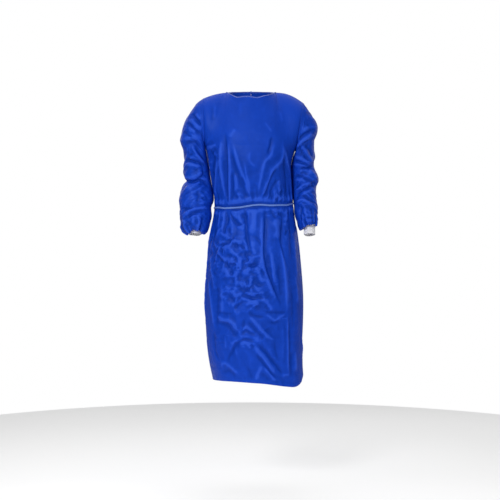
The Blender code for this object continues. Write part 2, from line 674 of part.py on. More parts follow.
def cuff(side, material, collection):
    """A knitted tube: ribs raised on its outer points, a plain inside."""
    shape = CUFFS[side]
    sides = 2 * CUFF_RIBS
    turn = np.arange(sides) * 2 * math.pi / sides
    top = np.array([shape.top_x, shape.top_y, shape.top_z]) * MM
    bottom = np.array([shape.bottom_x, shape.bottom_y, shape.bottom_z]) * MM
    axis = unit(top - bottom)
    across = unit(np.cross([0, 1.0, 0], axis))
    ahead = np.cross(axis, across)
    rib = CUFF_RIB_HEIGHT * (np.arange(sides) % 2)
    rings = []
    for share, inset in ((0, 0), (0.33, 0), (0.66, 0), (1, 0), (1, CUFF_WALL), (0, CUFF_WALL)):
        middle = bottom + (top - bottom) * share
        raised = -inset if inset else rib - CUFF_RIB_HEIGHT
        wide, deep = shape.half_width * MM + raised, shape.half_depth * MM + raised
        rings.append(middle + np.outer(np.cos(turn) * wide, across) + np.outer(np.sin(turn) * deep, ahead))
    swept("cuff_" + side, np.array(rings), material, collection, closed=True)


def band_rings(points, out, down, span, depth):
    """Four-cornered rings of a band: down from span[0] to span[1], out from depth[0] to depth[1]."""
    corners = [(span[0], depth[1]), (span[1], depth[1]), (span[1], depth[0]), (span[0], depth[0])]
    return np.stack([points + down * s + out * d for s, d in corners], axis=1)


def neck_binding(front, left, right, material, collection):
    """A tape that carries the cloth's surface on past the neck seam, from the right back edge round the front
    to the left back edge."""
    neck = slice(SHOULDER_COLUMNS, SHOULDER_COLUMNS + FRONT_NECK_COLUMNS + 1)
    pieces = [(right, slice(0, BACK_NECK_COLUMNS + 1)), (front, neck), (left, slice(SHOULDER_COLUMNS, None))]
    edge = np.concatenate([grid[-1, part] for grid, part in pieces])
    out = np.concatenate([grid_normals(grid)[-1, part] for grid, part in pieces])
    for seam in (BACK_NECK_COLUMNS + FRONT_NECK_COLUMNS + 1, BACK_NECK_COLUMNS):
        edge[seam] = (edge[seam] + edge[seam + 1]) / 2
        out[seam] = out[seam] + out[seam + 1]
        edge, out = np.delete(edge, seam + 1, axis=0), np.delete(out, seam + 1, axis=0)
    out = unit(out)
    down = unit(np.cross(np.gradient(edge, axis=0), out))
    span = (-BINDING_GAP - BINDING_WIDTH, -BINDING_GAP)
    rings = band_rings(edge, out, down, span, (-BINDING_OVERHANG, WALL + BINDING_OVERHANG))
    swept("neck_binding", rings, material, collection)


def waist_belt(material, collection):
    """The belt, on the panels' outer face, with its ends at the knot behind."""
    side = back_angles(0.0)
    half = np.concatenate([side[side < 180 - 2 * BELT_KNOT_HALF_ANGLE], [180 - BELT_KNOT_HALF_ANGLE]])
    angles = np.concatenate([-half[::-1], front_angles()[1:-1], half])
    ring = body_ring(angles, belt_height(angles))
    ring[:, 1] += np.where(np.abs(angles) > SIDE_ANGLE, 1, -1) * SEAM_GAP / 2
    up = np.tile([0, 0, 1.0], (len(ring), 1))
    out = unit(np.cross(np.gradient(ring, axis=0), up))
    depth = (WALL + EDGE_GAP, WALL + EDGE_GAP + BELT_THICKNESS)
    rings = band_rings(ring, out, -up, (-BELT_WIDTH / 2, BELT_WIDTH / 2), depth)
    swept("waist_belt", rings, material, collection)


def tie(name, sizes, knot_at, path_of, material, collection):
    """A knot at knot_at, and two tape ends under it that lie on the back along path_of(side, share)."""
    bpy.ops.mesh.primitive_uv_sphere_add(segments=14, ring_count=8, radius=1.0)
    knot = bpy.context.object
    knot.name = name + "_knot"
    knot.location = knot_at
    knot.scale = [v * MM for v in (sizes.half_width, sizes.half_depth, sizes.half_height)]
    knot.data.shade_smooth()
    knot.data.materials.append(material)
    for other in list(knot.users_collection):
        other.objects.unlink(knot)
    collection.objects.link(knot)
    for side, way in (("right", -1.0), ("left", 1.0)):
        path = path_of(way)
        along = unit(np.gradient(path, axis=0))
        out = unit(np.cross(along, np.cross([0, 1.0, 0], along)))
        across = np.cross(out, along)
        half = BELT_WIDTH / 2
        rings = band_rings(path, out, -across, (-half, half), (0, BELT_THICKNESS))
        swept(name + "_end_" + side, rings, material, collection)


def on_back(panel, angle, z):
    """The points of the left back panel at these angles and heights, on its flat faces."""
    found = []
    for one_angle, one_z in zip(angle, z):
        line = np.array([
            [np.interp(one_angle, back_angles(share), row[:, axis]) for axis in range(3)]
            for share, row in zip(row_shares(), panel)
        ])
        found.append([np.interp(one_z, line[:, 2], line[:, axis]) for axis in range(3)])
    return np.array(found)


def hanging_ends(panel, sizes, knot):
    """The paths of a tie's two ends down the back, as a function of which end it is: 1 left, -1 right."""

    def path_of(way):
        share = np.linspace(0, 1, 9)
        spread = sizes.top_spread + (sizes.bottom_spread - sizes.top_spread) * share
        length = sizes.left_length if way > 0 else sizes.right_length
        top_z = knot[2] - sizes.half_height * MM - EDGE_GAP
        path = on_back(panel, 180 - spread, top_z - share * length * MM)
        path[:, 0] = knot[0] + way * (path[:, 0] - knot[0])
        path[:, 1] += WALL + TIE_CLEARANCE
        return path

    return path_of


def belt_tie(panel, material, collection):
    """The belt's knot behind, standing just off the left back panel, and its ends."""
    sizes = BELT_TIE
    knot = body_ring(np.array(180.0), belt_height(180.0))
    knot[1] += WALL + EDGE_GAP + KNOT_STANDOFF + sizes.half_depth * MM
    tie("belt_tie", sizes, knot, hanging_ends(panel, sizes, knot), material, collection)


def neck_tie(panel, material, collection):
    """The knot that closes the neck behind, and its ends."""
    sizes = NECK_TIE
    knot = neck_point(np.array(180.0))
    knot[1] += WALL + TIE_CLEARANCE + sizes.half_depth * MM
    tie("neck_tie", sizes, knot, hanging_ends(panel, sizes, knot), material, collection)


def material(name, colour, roughness):
    """A plain material for one of the three cloths."""
    made = bpy.data.materials.new(name)
    made.use_nodes = True
    shader = made.node_tree.nodes["Principled BSDF"]
    shader.inputs["Base Color"].default_value = colour
    shader.inputs["Roughness"].default_value = roughness
    shader.inputs["Metallic"].default_value = 0.0
    return made


def main():
    """Builds the gown in a collection of its own."""
    for obj in list(bpy.data.objects):
        bpy.data.objects.remove(obj)
    gown = bpy.data.collections.new("isolation_gown")
    bpy.context.scene.collection.children.link(gown)
    blue = material("blue_nonwoven", CLOTH_BLUE, 0.5)
    white = material("white_rib_knit", KNIT_WHITE, 0.9)
    tape = material("pale_blue_tape", TAPE_BLUE, 0.7)

    front, left, right = front_grid(), back_grid("left"), back_grid("right")
    cloth("front_panel", front, blue, gown)
    cloth("back_panel_left", left, blue, gown)
    cloth("back_panel_right", right, blue, gown)
    for side in ("right", "left"):
        sleeve(side, front, left if side == "left" else right, blue, gown)
        cuff(side, white, gown)
    neck_binding(front, left, right, tape, gown)
    waist_belt(tape, gown)
    belt_tie(left, tape, gown)
    neck_tie(left, tape, gown)


main()
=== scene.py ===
"""Isolation gown: the visible cloth, knit and tape of a worn gown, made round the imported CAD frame.

Metres, +Z up, the front faces -Y; "left" and "right" are the wearer's, so the left sleeve is at +X. Section
tables and creases are in millimetres of the worn garment, and MM turns them into metres.
"""

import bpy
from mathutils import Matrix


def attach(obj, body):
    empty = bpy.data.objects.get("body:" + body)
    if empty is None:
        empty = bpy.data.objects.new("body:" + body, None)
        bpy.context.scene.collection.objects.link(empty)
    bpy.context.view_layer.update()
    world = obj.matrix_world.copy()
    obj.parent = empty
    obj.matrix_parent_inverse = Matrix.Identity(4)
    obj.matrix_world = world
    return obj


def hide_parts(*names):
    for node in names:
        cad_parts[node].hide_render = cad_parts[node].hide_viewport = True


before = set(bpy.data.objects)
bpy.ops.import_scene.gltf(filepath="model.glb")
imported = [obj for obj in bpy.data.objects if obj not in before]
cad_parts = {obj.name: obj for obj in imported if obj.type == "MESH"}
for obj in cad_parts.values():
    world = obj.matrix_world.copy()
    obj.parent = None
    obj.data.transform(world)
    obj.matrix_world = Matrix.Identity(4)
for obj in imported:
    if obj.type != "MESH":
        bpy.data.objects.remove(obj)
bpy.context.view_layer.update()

import math
from collections import namedtuple

import bpy
from mathutils import Vector
import numpy as np

bl_info = {
    "name": "Isolation Gown",
    "version": (1, 0, 0),
    "blender": (4, 5, 0),
    "location": "View3D > Sidebar > Gown",
    "description": "Builds the cloth, cuffs, tapes and studio of an isolation gown round its CAD frame",
    "category": "Add Mesh",
}

MM = 0.001
WAYS = {"right": -1.0, "left": 1.0}

# Body panels, as the CAD source gives them. Angles are in degrees round the body from the front's middle.
SIDE_ANGLE = 90.0
NECK_POINT_ANGLE = 50.0
BACK_OVERLAP_ANGLE = 25.0
YOKE_RISE = 170 * MM
YOKE_REACH = 150 * MM
ARMHOLE_EASE_ANGLE = 55.0
CORNER_EASE_ANGLE = 9.0
SECTION_POWER = 2.2
ARMPIT_Z = -192 * MM
HEM_Z = -1062 * MM
BELT_Z = -410 * MM
SHOULDER_SAG = {"right": 4 * MM, "left": 11 * MM}
CAD_WALL = 1.5 * MM
LAP_DEPTH = 2.0 * MM

# Heights between which level rows bend over to the hem's, the belt's and the armpits' own lines
HEM_BEND_Z = -0.86
UNDER_BELT_Z = (-0.60, -0.44)
OVER_BELT_Z = (-0.38, -0.25)
ARMPIT_BEND_Z = -0.33

# Neck opening, on the seam between cloth and binding
NECK_HALF_WIDTH = 92 * MM
NECK_FRONT_Y = -83 * MM
NECK_BACK_Y = 66 * MM
NECK_FRONT_Z = -8 * MM
NECK_SIDE_Z = 19 * MM
NECK_BACK_Z = 30 * MM
NECK_POWER = 1.3


def table(kind, *rows):
    """Rows of numbers as records of one kind."""
    return [kind(*row) for row in rows]


# Where the front of the neckline sags, by the turn round the neck from its front
NeckDip = namedtuple("NeckDip", "turn spread depth")
NECK_DIPS = table(NeckDip, (-35, 13, 6), (14, 11, 5))

# The body's level sections from armpit to hem: the two side edges, and how far front and back stand out.
BodySection = namedtuple("BodySection", "z right_edge left_edge front back")
BODY_SECTIONS = table(
    BodySection,
    (-192, -172.9, 167.2, -128, 105),
    (-217, -167.0, 158.5, -132, 105),
    (-255, -160.4, 151.5, -134, 103),
    (-293, -154.0, 152.0, -130, 99),
    (-331, -146.5, 154.0, -123, 93),
    (-369, -139.0, 156.5, -114, 88),
    (-410, -138.0, 158.5, -107, 85),
    (-445, -142.5, 162.5, -112, 92),
    (-483, -149.5, 168.0, -122, 104),
    (-540, -158.0, 178.6, -134, 121),
    (-616, -161.5, 187.3, -143, 133),
    (-692, -167.0, 193.8, -149, 138),
    (-768, -171.0, 197.6, -153, 141),
    (-844, -171.0, 196.5, -154, 141),
    (-920, -167.2, 193.5, -154, 140),
    (-980, -161.0, 191.5, -152, 138),
    (-1030, -152.0, 194.5, -149, 136),
    (-1062, -144.5, 196.5, -145, 133),
)

# How far the hem hangs under its level, by the angle from the front's middle
HEM_LINE = [
    (-180, 0),
    (-110, 1),
    (-78, 4),
    (-50, 1),
    (-30, 0.5),
    (-13, 2),
    (5, 6),
    (18, 12),
    (36, 20),
    (52, 23),
    (66, 12),
    (78, -8),
    (90, -27),
    (108, -26),
    (140, -9),
    (180, 0),
]

# The belt's height round the waist, by the angle from the front's middle
BELT_LINE = [
    (-180, -410),
    (-90, -418),
    (-62, -420),
    (-42, -422),
    (-23, -420.5),
    (-7, -414.5),
    (5, -412),
    (23, -413),
    (41, -411),
    (65, -406),
    (90, -402),
    (180, -410),
]

# Where the armhole starts and ends on each side: the armpit, and the tip of the shoulder
Armhole = namedtuple("Armhole", "armpit_x armpit_z tip_x tip_z half_depth")
ARMHOLES = {
    "right": Armhole(-172.9, -186.0, -181.0, -4.0, 66),
    "left": Armhole(167.2, -198.0, 197.6, -21.0, 66),
}
ARMPIT_TILT = (ARMHOLES["left"].armpit_z - ARMHOLES["right"].armpit_z) / 2 * MM

# The sleeves' sections from armhole to cuff. Each is an oval through an outer and an inner point; tip is how
# far its front is lifted and its back lowered, and lift how far both hang over its sides. The last three rows
# turn up inside, round the cuff.
SleeveSection = namedtuple("SleeveSection", "outer_x outer_z inner_x inner_z half_depth middle_y tip lift")
RIGHT_SLEEVE = table(
    SleeveSection,
    (-199.5, -18, -176.5, -196, 66, 2, 0, 0),
    (-226.0, -52, -175.5, -205, 65, 4, 0, 0),
    (-249.7, -89, -173.5, -214, 64, 6, 0, 0),
    (-262.0, -129, -170.8, -225, 63, 8, 0, 0),
    (-266.0, -163, -168.0, -238, 62, 9, 0, 0),
    (-256.5, -197, -165.0, -253, 60, 10, 0, 0),
    (-254.6, -235, -161.6, -272, 58, 11, 0, 0),
    (-256.5, -270, -158.0, -293, 57, 12, 0, 0),
    (-252.7, -298, -154.6, -313, 54, 12, 0, 0),
    (-244.5, -313, -151.0, -331, 51, 11, 0, 0),
    (-257.0, -333, -147.5, -350, 54, 8, 2, 0),
    (-268.0, -357, -144.0, -369, 58, 4, 4, 0),
    (-271.7, -388, -145.5, -392, 60, -2, 6, 0),
    (-269.8, -422, -152.0, -419, 58, -9, 8, 0),
    (-268.7, -449, -149.5, -450, 60, -15, 10, 0),
    (-263.5, -474, -154.5, -472, 58, -21, 12, 0),
    (-260.3, -497, -160.0, -494, 54, -27, 14, 0),
    (-251.0, -512, -168.0, -511, 46, -31, 10, 7),
    (-240.0, -519, -177.0, -519, 36, -34, 4, 12),
    (-238.6, -514, -182.4, -514, 27, -35.5, 3, 9),
    (-238.0, -498, -182.8, -498, 25.5, -32, 2, 3),
    (-236.4, -478, -184.4, -478, 24.2, -26.2, 0, 0),
)
LEFT_SLEEVE = table(
    SleeveSection,
    (207.0, -34, 170.5, -207, 66, 2, 0, 0),
    (221.5, -57, 168.0, -214, 65, 4, 0, 0),
    (238.6, -81, 164.8, -221, 64, 6, 0, 0),
    (250.8, -106, 161.8, -230, 63, 8, 0, 0),
    (248.9, -131, 159.4, -241, 61, 9, 0, 0),
    (238.6, -160, 157.6, -254, 58, 10, 0, 0),
    (238.3, -194, 156.6, -270, 56, 11, 0, 0),
    (244.0, -226, 156.5, -285, 56, 12, 0, 0),
    (237.5, -254, 157.0, -298, 53, 12, 0, 0),
    (245.1, -279, 157.8, -312, 54, 12, 0, 0),
    (255.4, -309, 158.8, -329, 56, 11, 0, 0),
    (245.1, -338, 160.4, -350, 53, 8, 2, 0),
    (245.9, -372, 162.4, -376, 53, 2, 4, 0),
    (248.9, -410, 165.4, -410, 53, -7, 6, 0),
    (250.8, -444, 169.6, -446, 52, -15, 8, 0),
    (251.0, -466, 174.6, -471, 50, -21, 10, 0),
    (250.0, -481, 179.0, -492, 44, -26, 8, 4),
    (247.5, -488, 186.0, -504, 35, -30, 4, 9),
    (247.0, -483, 193.6, -501, 26, -30.5, 3, 7),
    (246.6, -473, 194.0, -488, 24.4, -27.2, 2, 2),
    (245.2, -462, 195.3, -475, 23.6, -23, 0, 0),
)
SLEEVES = {"right": RIGHT_SLEEVE, "left": LEFT_SLEEVE}

# The cuffs: the middles of their two ends, and the oval's half sizes.
Cuff = namedtuple("Cuff", "top_x top_y top_z bottom_x bottom_y bottom_z half_width half_depth")
CUFFS = {
    "right": Cuff(-210.0, -22, -462, -211.7, -37, -519, 23.2, 21.5),
    "left": Cuff(220.2, -20, -457, 220.4, -36, -521, 21.8, 20.5),
}

# Creases: where each runs in its own view, half its width, how far it stands out (a trough is under 0), and
# how much wider its left side is than its right. Front, back and sleeve creases lie on the front view's x and
# z, and side creases on the side view's y and z.
Crease = namedtuple("Crease", "points width height lean", defaults=(0.0,))
BODICE_CREASES = table(
    Crease,
    ([(-94, -148), (-92, -192), (-90, -265), (-90, -339), (-86, -412)], 5.5, -6.0, -0.2),
    ([(-86, -184), (-80, -265), (-80, -339), (-79, -412)], 4.4, 3.5),
    ([(-110, -173), (-114, -229), (-110, -295), (-99, -357), (-88, -409)], 5.1, 4.5, 0.2),
    ([(-103, -221), (-100, -302), (-92, -394)], 5.5, -3.5),
    ([(-123, -218), (-129, -302), (-134, -401)], 6.2, 4.0),
    ([(-141, -210), (-145, -302), (-149, -405)], 8.1, -4.0),
    ([(-66, -184), (-48, -251), (-26, -313), (-4, -376), (2, -409)], 7.0, 4.2, -0.3),
    ([(-75, -210), (-59, -276), (-37, -328), (-15, -379)], 7.3, -3.8),
    ([(-26, -251), (-17, -302), (0, -368)], 4.8, 2.8, 0.2),
    ([(-37, -306), (-18, -342)], 3.7, -2.4),
    ([(-2, -212), (-7, -240), (0, -258), (22, -277)], 4.5, 1.4),
    ([(75, -159), (70, -195), (61, -229)], 4.4, -3.4, 0.2),
    ([(81, -184), (72, -229), (50, -254), (37, -302), (24, -383)], 7.0, 3.6, 0.2),
    ([(48, -104), (60, -122), (77, -146)], 5.0, 1.1),
    ([(107, -59), (118, -104)], 5.9, 1.0),
    ([(116, -173), (116, -221), (107, -251), (79, -284), (64, -324), (33, -394)], 8.1, 4.6, 0.25),
    ([(99, -273), (83, -291), (70, -320), (61, -346), (53, -387)], 5.5, -4.2),
    ([(107, -311), (90, -328), (75, -357), (72, -383)], 4.4, -3.0, -0.2),
    ([(99, -306), (103, -350), (96, -387)], 6.6, 3.2),
    ([(123, -199), (130, -240), (143, -284), (150, -335), (152, -405)], 5.5, 4.2),
    ([(118, -221), (125, -265), (132, -313), (132, -379)], 7.3, -4.2),
    ([(85, -383), (99, -396), (114, -394)], 3.7, -2.2),
    ([(88, -370), (107, -381)], 3.7, 1.8),
    ([(-59, -295), (-54, -335), (-62, -364)], 5.9, 3.0),
    ([(-70, -284), (-69, -339), (-68, -394)], 6.2, -3.6),
    ([(-55, -379), (-40, -370), (-26, -383)], 4.0, 2.0),
    ([(-55, -398), (-37, -390), (-22, -401)], 3.3, 1.7),
    ([(11, -342), (17, -383), (18, -409)], 4.8, 2.2),
    ([(7, -379), (8, -409)], 3.7, -2.0),
    ([(-40, -23), (-39, -85)], 7.3, 0.8),
    ([(-134, -34), (-136, -93)], 6.2, 1.2),
    ([(-145, -37), (-143, -100)], 5.9, -1.2),
    ([(-55, -129), (-81, -166)], 9.6, 1.5),
    ([(-169, -201), (-151, -192), (-125, -190)], 5.1, 3.2),
    ([(-154, -208), (-136, -218)], 7.3, -2.6),
    ([(-162, -284), (-147, -293), (-132, -298)], 4.4, -1.6),
    ([(-158, -247), (-140, -251)], 4.8, 1.6),
)
SKIRT_CREASES = table(
    Crease,
    ([(-86, -427), (-87, -464), (-96, -493), (-101, -526)], 5.5, -5.0),
    ([(-96, -427), (-102, -482), (-107, -512)], 4.4, 3.6),
    ([(-115, -431), (-119, -490), (-123, -541)], 7.3, 3.0),
    ([(-132, -435), (-137, -504), (-141, -563)], 7.0, -3.2),
    ([(-77, -427), (-70, -457), (-59, -475), (-42, -486), (-27, -477)], 4.8, -3.8, 0.2),
    ([(-66, -431), (-53, -453), (-31, -457)], 6.6, 3.2),
    ([(-53, -495), (-37, -493), (-26, -504)], 5.1, 2.6),
    ([(-79, -490), (-81, -512), (-70, -524)], 3.7, -2.4),
    ([(-22, -424), (-18, -486), (-15, -534), (-2, -592)], 5.5, -5.0, 0.2),
    ([(9, -424), (9, -482), (5, -526)], 15.4, 5.0),
    ([(11, -526), (31, -546), (40, -578), (35, -603)], 4.4, -3.0),
    ([(0, -541), (9, -578), (18, -607)], 8.8, 3.0),
    (
        [(50, -424), (52, -486), (50, -534), (48, -585), (57, -640), (77, -695), (99, -750), (112, -786)],
        5.5, -6.2, 0.3,
    ),
    ([(40, -438), (41, -523), (42, -596), (51, -655), (71, -709), (92, -757)], 5.5, 5.0, -0.2),
    ([(70, -427), (81, -446), (90, -464)], 3.7, -2.6),
    ([(77, -424), (95, -435), (110, -427)], 5.1, 2.6),
    ([(88, -464), (93, -501), (95, -541)], 11.7, 4.6),
    ([(112, -427), (114, -486), (111, -548), (118, -585), (128, -636)], 4.4, -4.4),
    ([(129, -427), (129, -464), (123, -490)], 5.9, 3.4),
    ([(119, -477), (141, -468)], 3.7, -2.0),
    ([(125, -526), (135, -501)], 3.7, -2.4),
    ([(106, -545), (117, -611), (128, -706), (132, -801)], 6.2, 4.6, 0.3),
    ([(73, -578), (80, -640), (88, -713)], 6.6, 3.8),
    ([(63, -578), (67, -625), (77, -673)], 5.9, -3.0),
    ([(100, -622), (108, -698), (110, -753)], 6.6, -3.4),
    ([(145, -438), (147, -523), (150, -622)], 6.6, -3.2),
    ([(158, -523), (165, -622), (170, -706)], 6.6, 3.0),
    ([(-115, -510), (-95, -523), (-71, -539)], 4.0, 3.2),
    ([(-115, -526), (-110, -552), (-92, -541)], 4.4, 2.2),
    ([(-114, -561), (-88, -554), (-70, -537)], 3.7, -3.4),
    ([(-106, -543), (-90, -543)], 5.1, -1.8),
    ([(-134, -583), (-110, -611), (-92, -629), (-71, -649)], 4.0, -3.8),
    ([(-125, -583), (-99, -611), (-86, -623)], 4.0, 3.4),
    ([(-110, -574), (-92, -565), (-73, -570)], 4.4, 2.8),
    ([(-84, -585), (-66, -596), (-70, -618), (-57, -625)], 9.5, 3.6),
    ([(-64, -559), (-37, -563), (-20, -583)], 4.0, -3.2),
    ([(-70, -545), (-48, -550), (-29, -552)], 4.4, 2.8),
    ([(-81, -630), (-53, -630)], 3.7, -2.8),
    ([(-51, -585), (-44, -622), (-35, -651)], 4.4, 2.8),
    ([(-31, -600), (-27, -636), (-42, -673), (-42, -706)], 4.8, -3.0),
    ([(-95, -638), (-86, -666), (-79, -684)], 4.8, 2.8),
    ([(-71, -658), (-64, -702)], 5.1, -1.8),
    ([(-57, -651), (-55, -695)], 4.8, 2.2),
    ([(-16, -596), (0, -614), (9, -631)], 3.7, 3.2),
    ([(-24, -578), (-13, -605), (-11, -629)], 4.0, -2.4),
    ([(-11, -639), (15, -634), (26, -625)], 4.0, -4.2),
    ([(-4, -651), (11, -656)], 3.7, -2.2),
    ([(-15, -645), (0, -645)], 3.3, 2.0),
    ([(16, -629), (27, -658), (46, -702)], 6.6, 3.6),
    ([(36, -644), (51, -669), (66, -695)], 4.0, -3.4),
    ([(5, -677), (16, -686)], 3.7, -1.8),
    ([(-42, -695), (-27, -715)], 3.7, 3.0),
    ([(-27, -726), (-9, -720), (2, -708)], 5.1, -3.8),
    ([(5, -708), (18, -713), (31, -730)], 4.0, 2.8),
    ([(18, -700), (33, -709)], 4.0, -1.8),
    ([(-46, -761), (-33, -744), (-20, -728)], 4.4, -3.2),
    ([(-75, -726), (-62, -737), (-48, -750)], 4.4, 3.0),
    ([(-64, -794), (-48, -779), (-29, -766)], 3.7, -4.0),
    ([(-20, -781), (0, -771), (35, -779)], 4.8, 3.6),
    ([(-7, -752), (11, -757), (26, -748)], 4.0, -2.2),
    ([(-15, -742), (5, -739)], 3.7, 2.0),
    ([(13, -786), (33, -784)], 3.7, -2.4),
    ([(-93, -711), (-73, -725)], 4.8, 2.4),
    ([(-84, -746), (-59, -768)], 5.5, -2.0),
    ([(40, -731), (55, -768), (81, -801)], 5.9, 3.0),
    ([(48, -783), (70, -796)], 5.1, -2.0),
    ([(49, -804), (92, -807), (136, -808)], 3.7, -2.6),
    ([(53, -813), (73, -826), (88, -835), (108, -824), (130, -811)], 3.3, 2.6),
    ([(70, -838), (88, -845), (106, -836)], 4.4, -1.8),
    ([(134, -808), (134, -926), (136, -1043)], 3.3, 2.2),
    ([(141, -816), (142, -926), (143, -1039)], 5.1, -2.2),
    ([(110, -830), (134, -830)], 2.9, 1.4),
    ([(114, -1038), (141, -1038)], 3.3, 1.6),
    ([(-7, -797), (0, -812), (18, -820), (49, -823)], 4.4, -3.2),
    ([(-132, -810), (-110, -832), (-79, -838), (-62, -852), (-38, -887)], 4.4, 4.2),
    ([(-121, -845), (-88, -852), (-70, -874), (-55, -900)], 6.2, -2.4),
    ([(-128, -806), (-92, -811), (-66, -811)], 4.4, -1.8),
    ([(-38, -891), (-20, -872), (0, -882), (16, -890)], 3.7, -3.4),
    ([(-37, -878), (-20, -860), (0, -872), (15, -879)], 4.0, 2.8),
    ([(-26, -827), (-29, -856), (-37, -885)], 3.7, -2.4),
    ([(-5, -821), (29, -857), (62, -893), (86, -907)], 4.2, 5.0, -0.2),
    ([(-13, -838), (20, -873), (49, -905)], 5.1, -3.0),
    ([(86, -907), (90, -948), (101, -988)], 5.9, -2.0),
    (
        [(-86, -984), (-71, -948), (-57, -924), (-42, -911), (-24, -904), (-4, -906), (16, -916)],
        5.1, -3.8, -0.3,
    ),
    ([(-46, -924), (-26, -916), (-2, -922)], 5.1, 2.4),
    ([(-14, -919), (0, -938)], 3.3, 2.2),
    ([(-2, -921), (11, -935)], 3.3, -1.8),
    ([(9, -926), (29, -949), (53, -979), (70, -1006), (88, -1037)], 5.5, 4.8, -0.1),
    ([(16, -957), (35, -977), (55, -1003), (90, -1047)], 4.0, -3.6),
    ([(18, -916), (51, -949), (86, -993), (121, -1039)], 4.8, -3.6, 0.2),
    ([(42, -1001), (27, -1025), (18, -1054)], 4.8, 2.4),
    ([(47, -1004), (70, -1034), (93, -1061)], 4.8, 2.8),
    ([(33, -1028), (55, -1041), (66, -1061)], 7.3, -1.4),
    ([(-115, -1008), (-95, -995), (-70, -1012), (-42, -1037)], 5.5, 2.4),
    ([(-110, -1028), (-77, -1025), (-55, -1047)], 5.9, -1.6),
    ([(-18, -999), (-4, -1025), (4, -1054)], 8.1, -1.6),
    ([(-156, -673), (-145, -775), (-134, -871)], 4.4, 3.2),
    ([(-150, -592), (-143, -658), (-133, -728)], 4.8, 3.0),
    ([(-126, -673), (-123, -761), (-125, -874)], 6.6, -3.0),
    ([(-108, -695), (-104, -772), (-108, -827)], 7.0, 2.4),
    ([(-139, -871), (-132, -944), (-114, -995)], 7.3, -2.2),
    ([(-95, -889), (-92, -944)], 5.9, 1.8),
    ([(159, -669), (169, -724), (172, -783)], 5.5, 2.6),
    ([(148, -706), (154, -779), (154, -871)], 7.3, -2.6),
    ([(161, -951), (162, -995), (165, -1032)], 5.9, 2.4),
    ([(150, -944), (148, -999), (150, -1054)], 5.9, -2.0),
    ([(114, -841), (117, -915), (115, -988)], 8.8, 1.6),
)
RIGHT_SLEEVE_CREASES = table(
    Crease,
    ([(-185, -19), (-177, -72), (-176, -128), (-180, -188)], 5.6, -5.0),
    ([(-221, -64), (-204, -91), (-184, -119)], 4.5, -4.2, 0.2),
    ([(-208, -66), (-191, -92)], 5.2, 2.6),
    ([(-242, -96), (-214, -124), (-185, -149)], 4.5, -4.4, 0.2),
    ([(-232, -87), (-210, -107), (-189, -127)], 5.6, 3.6),
    ([(-234, -132), (-217, -126), (-204, -139)], 7.1, 2.8),
    ([(-255, -126), (-240, -145), (-217, -158)], 4.5, -2.6),
    ([(-251, -180), (-229, -171), (-206, -177), (-189, -201)], 4.9, -4.6),
    ([(-249, -165), (-229, -156), (-200, -164)], 6.0, 3.2),
    ([(-223, -188), (-202, -222), (-170, -261)], 4.9, 4.6),
    ([(-214, -182), (-193, -216), (-169, -252)], 4.5, -3.6),
    ([(-242, -203), (-223, -229)], 6.7, -2.2),
    ([(-253, -236), (-221, -243), (-191, -253), (-170, -262)], 4.5, -5.0),
    ([(-251, -252), (-221, -258), (-187, -264)], 5.2, 3.6),
    ([(-182, -272), (-180, -293), (-197, -308), (-208, -302)], 4.1, -3.8),
    ([(-202, -276), (-192, -287), (-200, -297)], 6.4, 3.0),
    ([(-172, -293), (-169, -308)], 4.5, -2.6),
    ([(-253, -315), (-221, -321), (-184, -316), (-154, -342)], 4.5, -6.0),
    ([(-251, -300), (-225, -306), (-206, -315)], 6.7, 3.0),
    ([(-202, -330), (-176, -330), (-152, -347)], 6.7, -3.2),
    ([(-251, -338), (-225, -353), (-217, -390)], 15.0, 4.0),
    ([(-204, -353), (-197, -375), (-204, -402)], 4.9, -2.6),
    ([(-189, -355), (-174, -364)], 3.7, -2.0),
    ([(-189, -370), (-169, -383)], 3.7, 2.2),
    ([(-185, -390), (-172, -379), (-159, -390)], 4.5, -2.8),
    ([(-197, -407), (-176, -402)], 4.5, 2.2),
    ([(-262, -420), (-240, -424), (-212, -422)], 5.2, -4.4),
    ([(-260, -452), (-240, -438), (-217, -427), (-191, -423), (-154, -419)], 4.5, 5.0),
    ([(-245, -460), (-221, -443), (-195, -433), (-169, -431)], 4.9, -4.6),
    ([(-172, -435), (-161, -452), (-170, -473)], 7.5, -3.6),
    ([(-223, -448), (-214, -461), (-221, -480)], 6.4, 3.6),
    ([(-202, -448), (-189, -469)], 5.2, 3.0),
    ([(-238, -469), (-227, -488)], 4.5, -2.8),
    ([(-204, -463), (-199, -486)], 4.1, -2.6),
    ([(-257, -463), (-242, -482)], 5.2, 2.8),
    ([(-182, -469), (-174, -495)], 4.5, -2.6),
)
